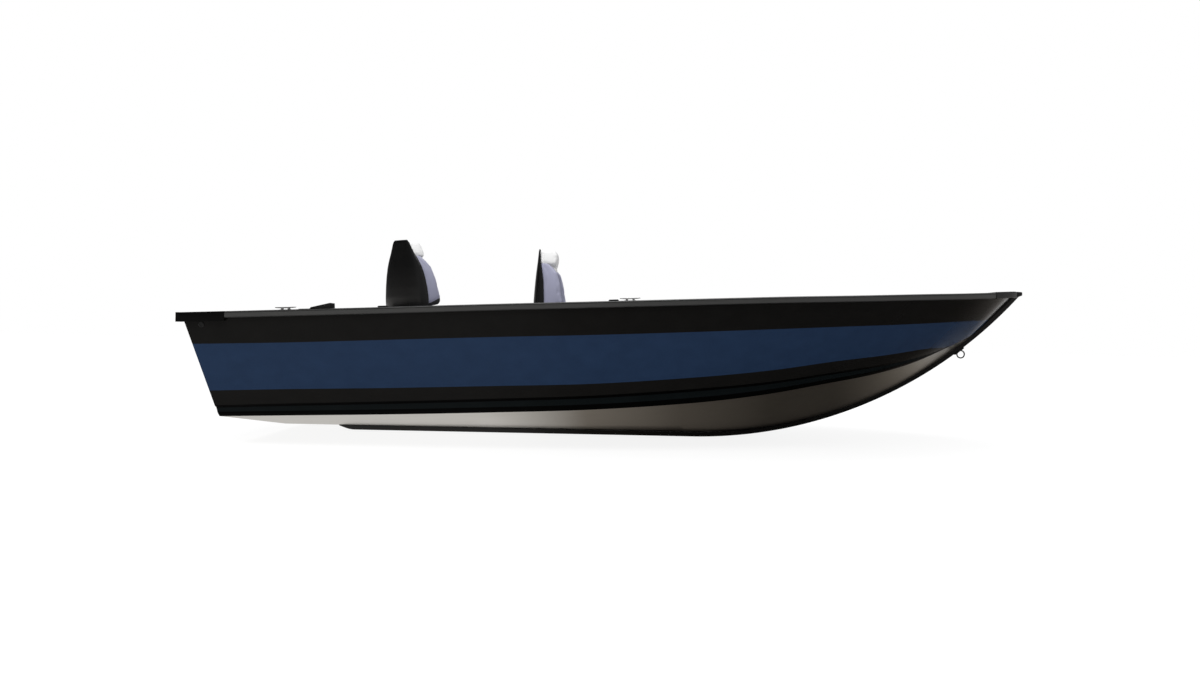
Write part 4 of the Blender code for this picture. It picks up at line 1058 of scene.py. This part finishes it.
Hatch = namedtuple("Hatch", "name x0 x1 y0 y1 z hinge")
HATCHES = (
    Hatch("bow_storage_port_lid", 3.42, 3.94, 0.05, 0.50, BOW_DECK_Z, "fore"),
    Hatch("bow_storage_starboard_lid", 3.42, 3.94, -0.50, -0.05, BOW_DECK_Z, "fore"),
    Hatch("livewell_lid", 0.26, 0.68, -0.28, 0.28, AFT_DECK_Z, "aft"),
    Hatch("aft_storage_port_lid", 0.26, 0.68, 0.36, 0.78, AFT_DECK_Z, "aft"),
    Hatch("aft_storage_starboard_lid", 0.26, 0.68, -0.78, -0.36, AFT_DECK_Z, "aft"),
)


def knuckles(bm, start, end, count, radius, sides):
    """The short tubes of a hinge, end to end with small gaps."""
    step = (end - start) / count
    short = step.normalized() * 0.001
    for k in range(count):
        near = start + step * k
        tube(bm, [near + short, near + step - short], radius, sides)


def latch(name, x, y, z, body):
    """A round flush pull with its ring folded flat."""
    at = Matrix.Translation((x, y, z))
    profile = ((0.029, 0.0001), (0.029, 0.0010), (0.0275, 0.0018), (0.022, 0.0018), (0.021, 0.0008))
    bm = turned(bmesh.new(), profile, at, 32)
    tube(bm, [at @ point for point in circle(0.016, 0.0030, 24)], 0.0020, 8, looped=True)
    box(bm, (-0.0215, -0.005, 0.0007), (-0.011, 0.005, 0.0046), 0.001, at)
    piece(name, bm, [STAINLESS], body=body)


def add_hatch_trim():
    section = ((0.001, 0.0002), (0.001, 0.0014), (0.002, 0.0020), (0.015, 0.0014), (0.016, 0.0002))
    for hatch in HATCHES:
        rings = []
        for x, out_x, y, out_y in (
            (hatch.x0, -1, hatch.y0, -1), (hatch.x1, 1, hatch.y0, -1),
            (hatch.x1, 1, hatch.y1, 1), (hatch.x0, -1, hatch.y1, 1),
        ):
            rings.append([Vector((x + out_x * away, y + out_y * away, hatch.z + up)) for away, up in section])
        bm = loft(bmesh.new(), rings, looped=True)
        hinged, free, inward = (hatch.x0, hatch.x1, 1) if hatch.hinge == "aft" else (hatch.x1, hatch.x0, -1)
        start = Vector((hinged + inward * 0.0026, hatch.y0 + 0.015, hatch.z + 0.0012))
        end = Vector((start.x, hatch.y1 - 0.015, start.z))
        knuckles(bm, start, end, 9, 0.0019, 10)
        piece(hatch.name + "_surround", bm, [ALLOY])
        middle = (hatch.y0 + hatch.y1) / 2
        latch(hatch.name + "_pull", free - inward * 0.055, middle, hatch.z, hatch.name)
    for k, x in enumerate((1.40, 2.30)):
        latch(f"rod_locker_pull_{k}", x, 0.615, LOCKER_Z, "rod_locker_lid")
    bm = bmesh.new()
    knuckles(bm, LOCKER_HINGE_START, LOCKER_HINGE_END, 30, 0.0022, 8)
    piece("rod_locker_hinge", bm, [ALLOY])


def add_deck_edges():
    section = (
        (0.0005, -0.026), (0.0030, -0.026), (0.0030, 0.0006), (0.0014, 0.0022), (-0.030, 0.0014),
        (-0.030, 0.0003), (0.0005, 0.0003),
    )
    for name, x, z, half, way in (("aft", 0.850, AFT_DECK_Z, 0.93, 1), ("bow", 3.250, BOW_DECK_Z, 0.87, -1)):
        rings = [[Vector((x + way * out, y, z + up)) for out, up in section] for y in (-half, half)]
        bm = loft(bmesh.new(), rings)
        spots = [(x - way * 0.020, half * (-0.96 + 1.92 * k / 11), z + 0.0013) for k in range(12)]
        heads(bm, Matrix(), spots, 0.0035, 0.0014)
        piece(name + "_deck_edge", bm, [ALLOY])


def add_transom_edging():
    """Edging round the motor's cut-out and a strip along the top on either side of it."""
    cut = ((0.3995, 0.7790), (0.3420, 0.6860), (0.3300, 0.6653))
    path = [Vector((0, -y, z)) for y, z in cut] + [Vector((0, y, z)) for y, z in reversed(cut)]
    section = ((EDGING_REAR, -0.009), (EDGING_REAR, 0.0026), (EDGING_FRONT, 0.0026), (EDGING_FRONT, -0.009))
    rings = []
    for i, point in enumerate(path):
        before, after = path[max(i - 1, 0)], path[min(i + 1, len(path) - 1)]
        heading = (after - before).normalized()
        off = Vector((0, -heading.z, heading.y))
        x = transom_x(point.z)
        rings.append([Vector((x + out, 0, 0)) + point + off * away for out, away in section])
    bm = loft(bmesh.new(), rings)
    strip = ((EDGING_REAR, 0.7720), (EDGING_REAR, 0.7835), (EDGING_FRONT, 0.7835), (EDGING_FRONT, 0.7720))
    for sign in (-1, 1):
        ends = sorted((sign * 0.402, sign * 0.824))
        loft(bm, [[Vector((transom_x(z) + out, y, z)) for out, z in strip] for y in ends])
    piece("transom_edging", bm, [BLACK_TRIM])


def add_transom_welds():
    bm = bmesh.new()
    for sign in (-1, 1):
        side = [flared(0, -0.019, up) for up in np.linspace(0.02, 0.60, 30)]
        tube(bm, [(transom_x(p.z) - 0.0005, sign * p.y, p.z) for p in side], 0.0028, 8)
        foot = []
        for t in np.linspace(0.02, 0.99, 30):
            z = 0.052 + 0.143 * t
            foot.append((transom_x(z) - 0.0005 + 0.004 * (1 - t), sign * 0.905 * t, z))
        tube(bm, foot, 0.0028, 8)
    piece("transom_welds", bm, [WELD])


def add_transom_fittings():
    at = transom_frame(0, DRAIN_Z)
    profile = (
        (0.022, -0.008), (0.022, 0.002), (0.020, 0.0035), (0.0125, 0.0035), (0.0125, 0.010), (0.011, 0.012),
    )
    bm = turned(bmesh.new(), profile, at, 28)
    heads(bm, at, circle(0.0165, 0.0034, 3, 90), 0.0022, 0.0010)
    piece("drain_plug", bm, [STAINLESS])
    low, high = MOTOR_PAD_TOP - MOTOR_PAD_HEIGHT, MOTOR_PAD_TOP - 0.009
    bm = bmesh.new()
    for y in (-0.165, 0.165):
        for z in (low + 0.035, high - 0.035):
            heads(bm, transom_frame(y, z, 0.010), [(0, 0, 0)], 0.0085, 0.0045, 14)
    piece("motor_pad_bolts", bm, [STAINLESS])


def add_rivets():
    """Rivets along the rail's inner leg."""
    bm = bmesh.new()
    for _, sign in SIDES:
        for k in range(RIVETS):
            place = place_of_sheer(RIVET_START_X + RIVET_STEP * k)
            spot = sheer_point(place, RAIL_WIDTH, 0.028)
            out = -plan_normal(place, "sheer")
            spot, out = Vector((spot.x, sign * spot.y, spot.z)), Vector((out.x, sign * out.y, 0))
            heads(bm, face_frame(spot, Vector((0, 0, 1)), out), [(0, 0, 0)], 0.0038, 0.0016)
    piece("rail_rivets", bm, [ALLOY])


# Solids kept from the CAD, with rounded edges and their own finish. Columns: look, edge radius, words in the
# names. The others have LINER_COAT.
KEPT = (
    (BLACK_PAINT, 0.003, ("transom",)),
    (RUBBER, 0.003, ("motor_pad",)),
    # The corner caps' trim carries painted shade.
    (CORNER_TRIM_PAINTED_SHADE, 0.003, ("corner_cap",)),
    (BLACK_TRIM, 0.003, ("control_pod", "side_outlet", "_swivel")),
    (DECK_WEAVE, 0.0025, ("_deck", "_floor", "_lid")),
    (TUB, 0.004, ("_tub",)),
    (DARK_CAST, 0.0015, ("rail_socket",)),
    (ALLOY, 0.002, ("_pedestal",)),
    (SHELL, 0.004, ("_pan",)),
)


def dress_kept():
    for name, node in NODES.items():
        chosen = [(one, radius) for one, radius, words in KEPT if any(word in name for word in words)]
        one, radius = chosen[0] if chosen else (LINER_COAT, 0.003)
        node.data.materials.clear()
        node.data.materials.append(one)
        node.data.shade_smooth()
        weld = node.modifiers.new("weld", "WELD")
        weld.merge_threshold = 0.00005
        bevel = node.modifiers.new("edges", "BEVEL")
        bevel.width = radius
        bevel.segments = 2
        bevel.angle_limit = math.radians(35)
        bevel.harden_normals = True


dress_kept()
add_seats()
add_sides()
add_bottom()
add_stem_plate()
add_keel()
add_rails()
add_bow_cap()
add_cleats()
add_eyes()
add_hatch_trim()
add_deck_edges()
add_transom_edging()
add_transom_welds()
add_transom_fittings()
add_rivets()
add_camera()
add_stage()
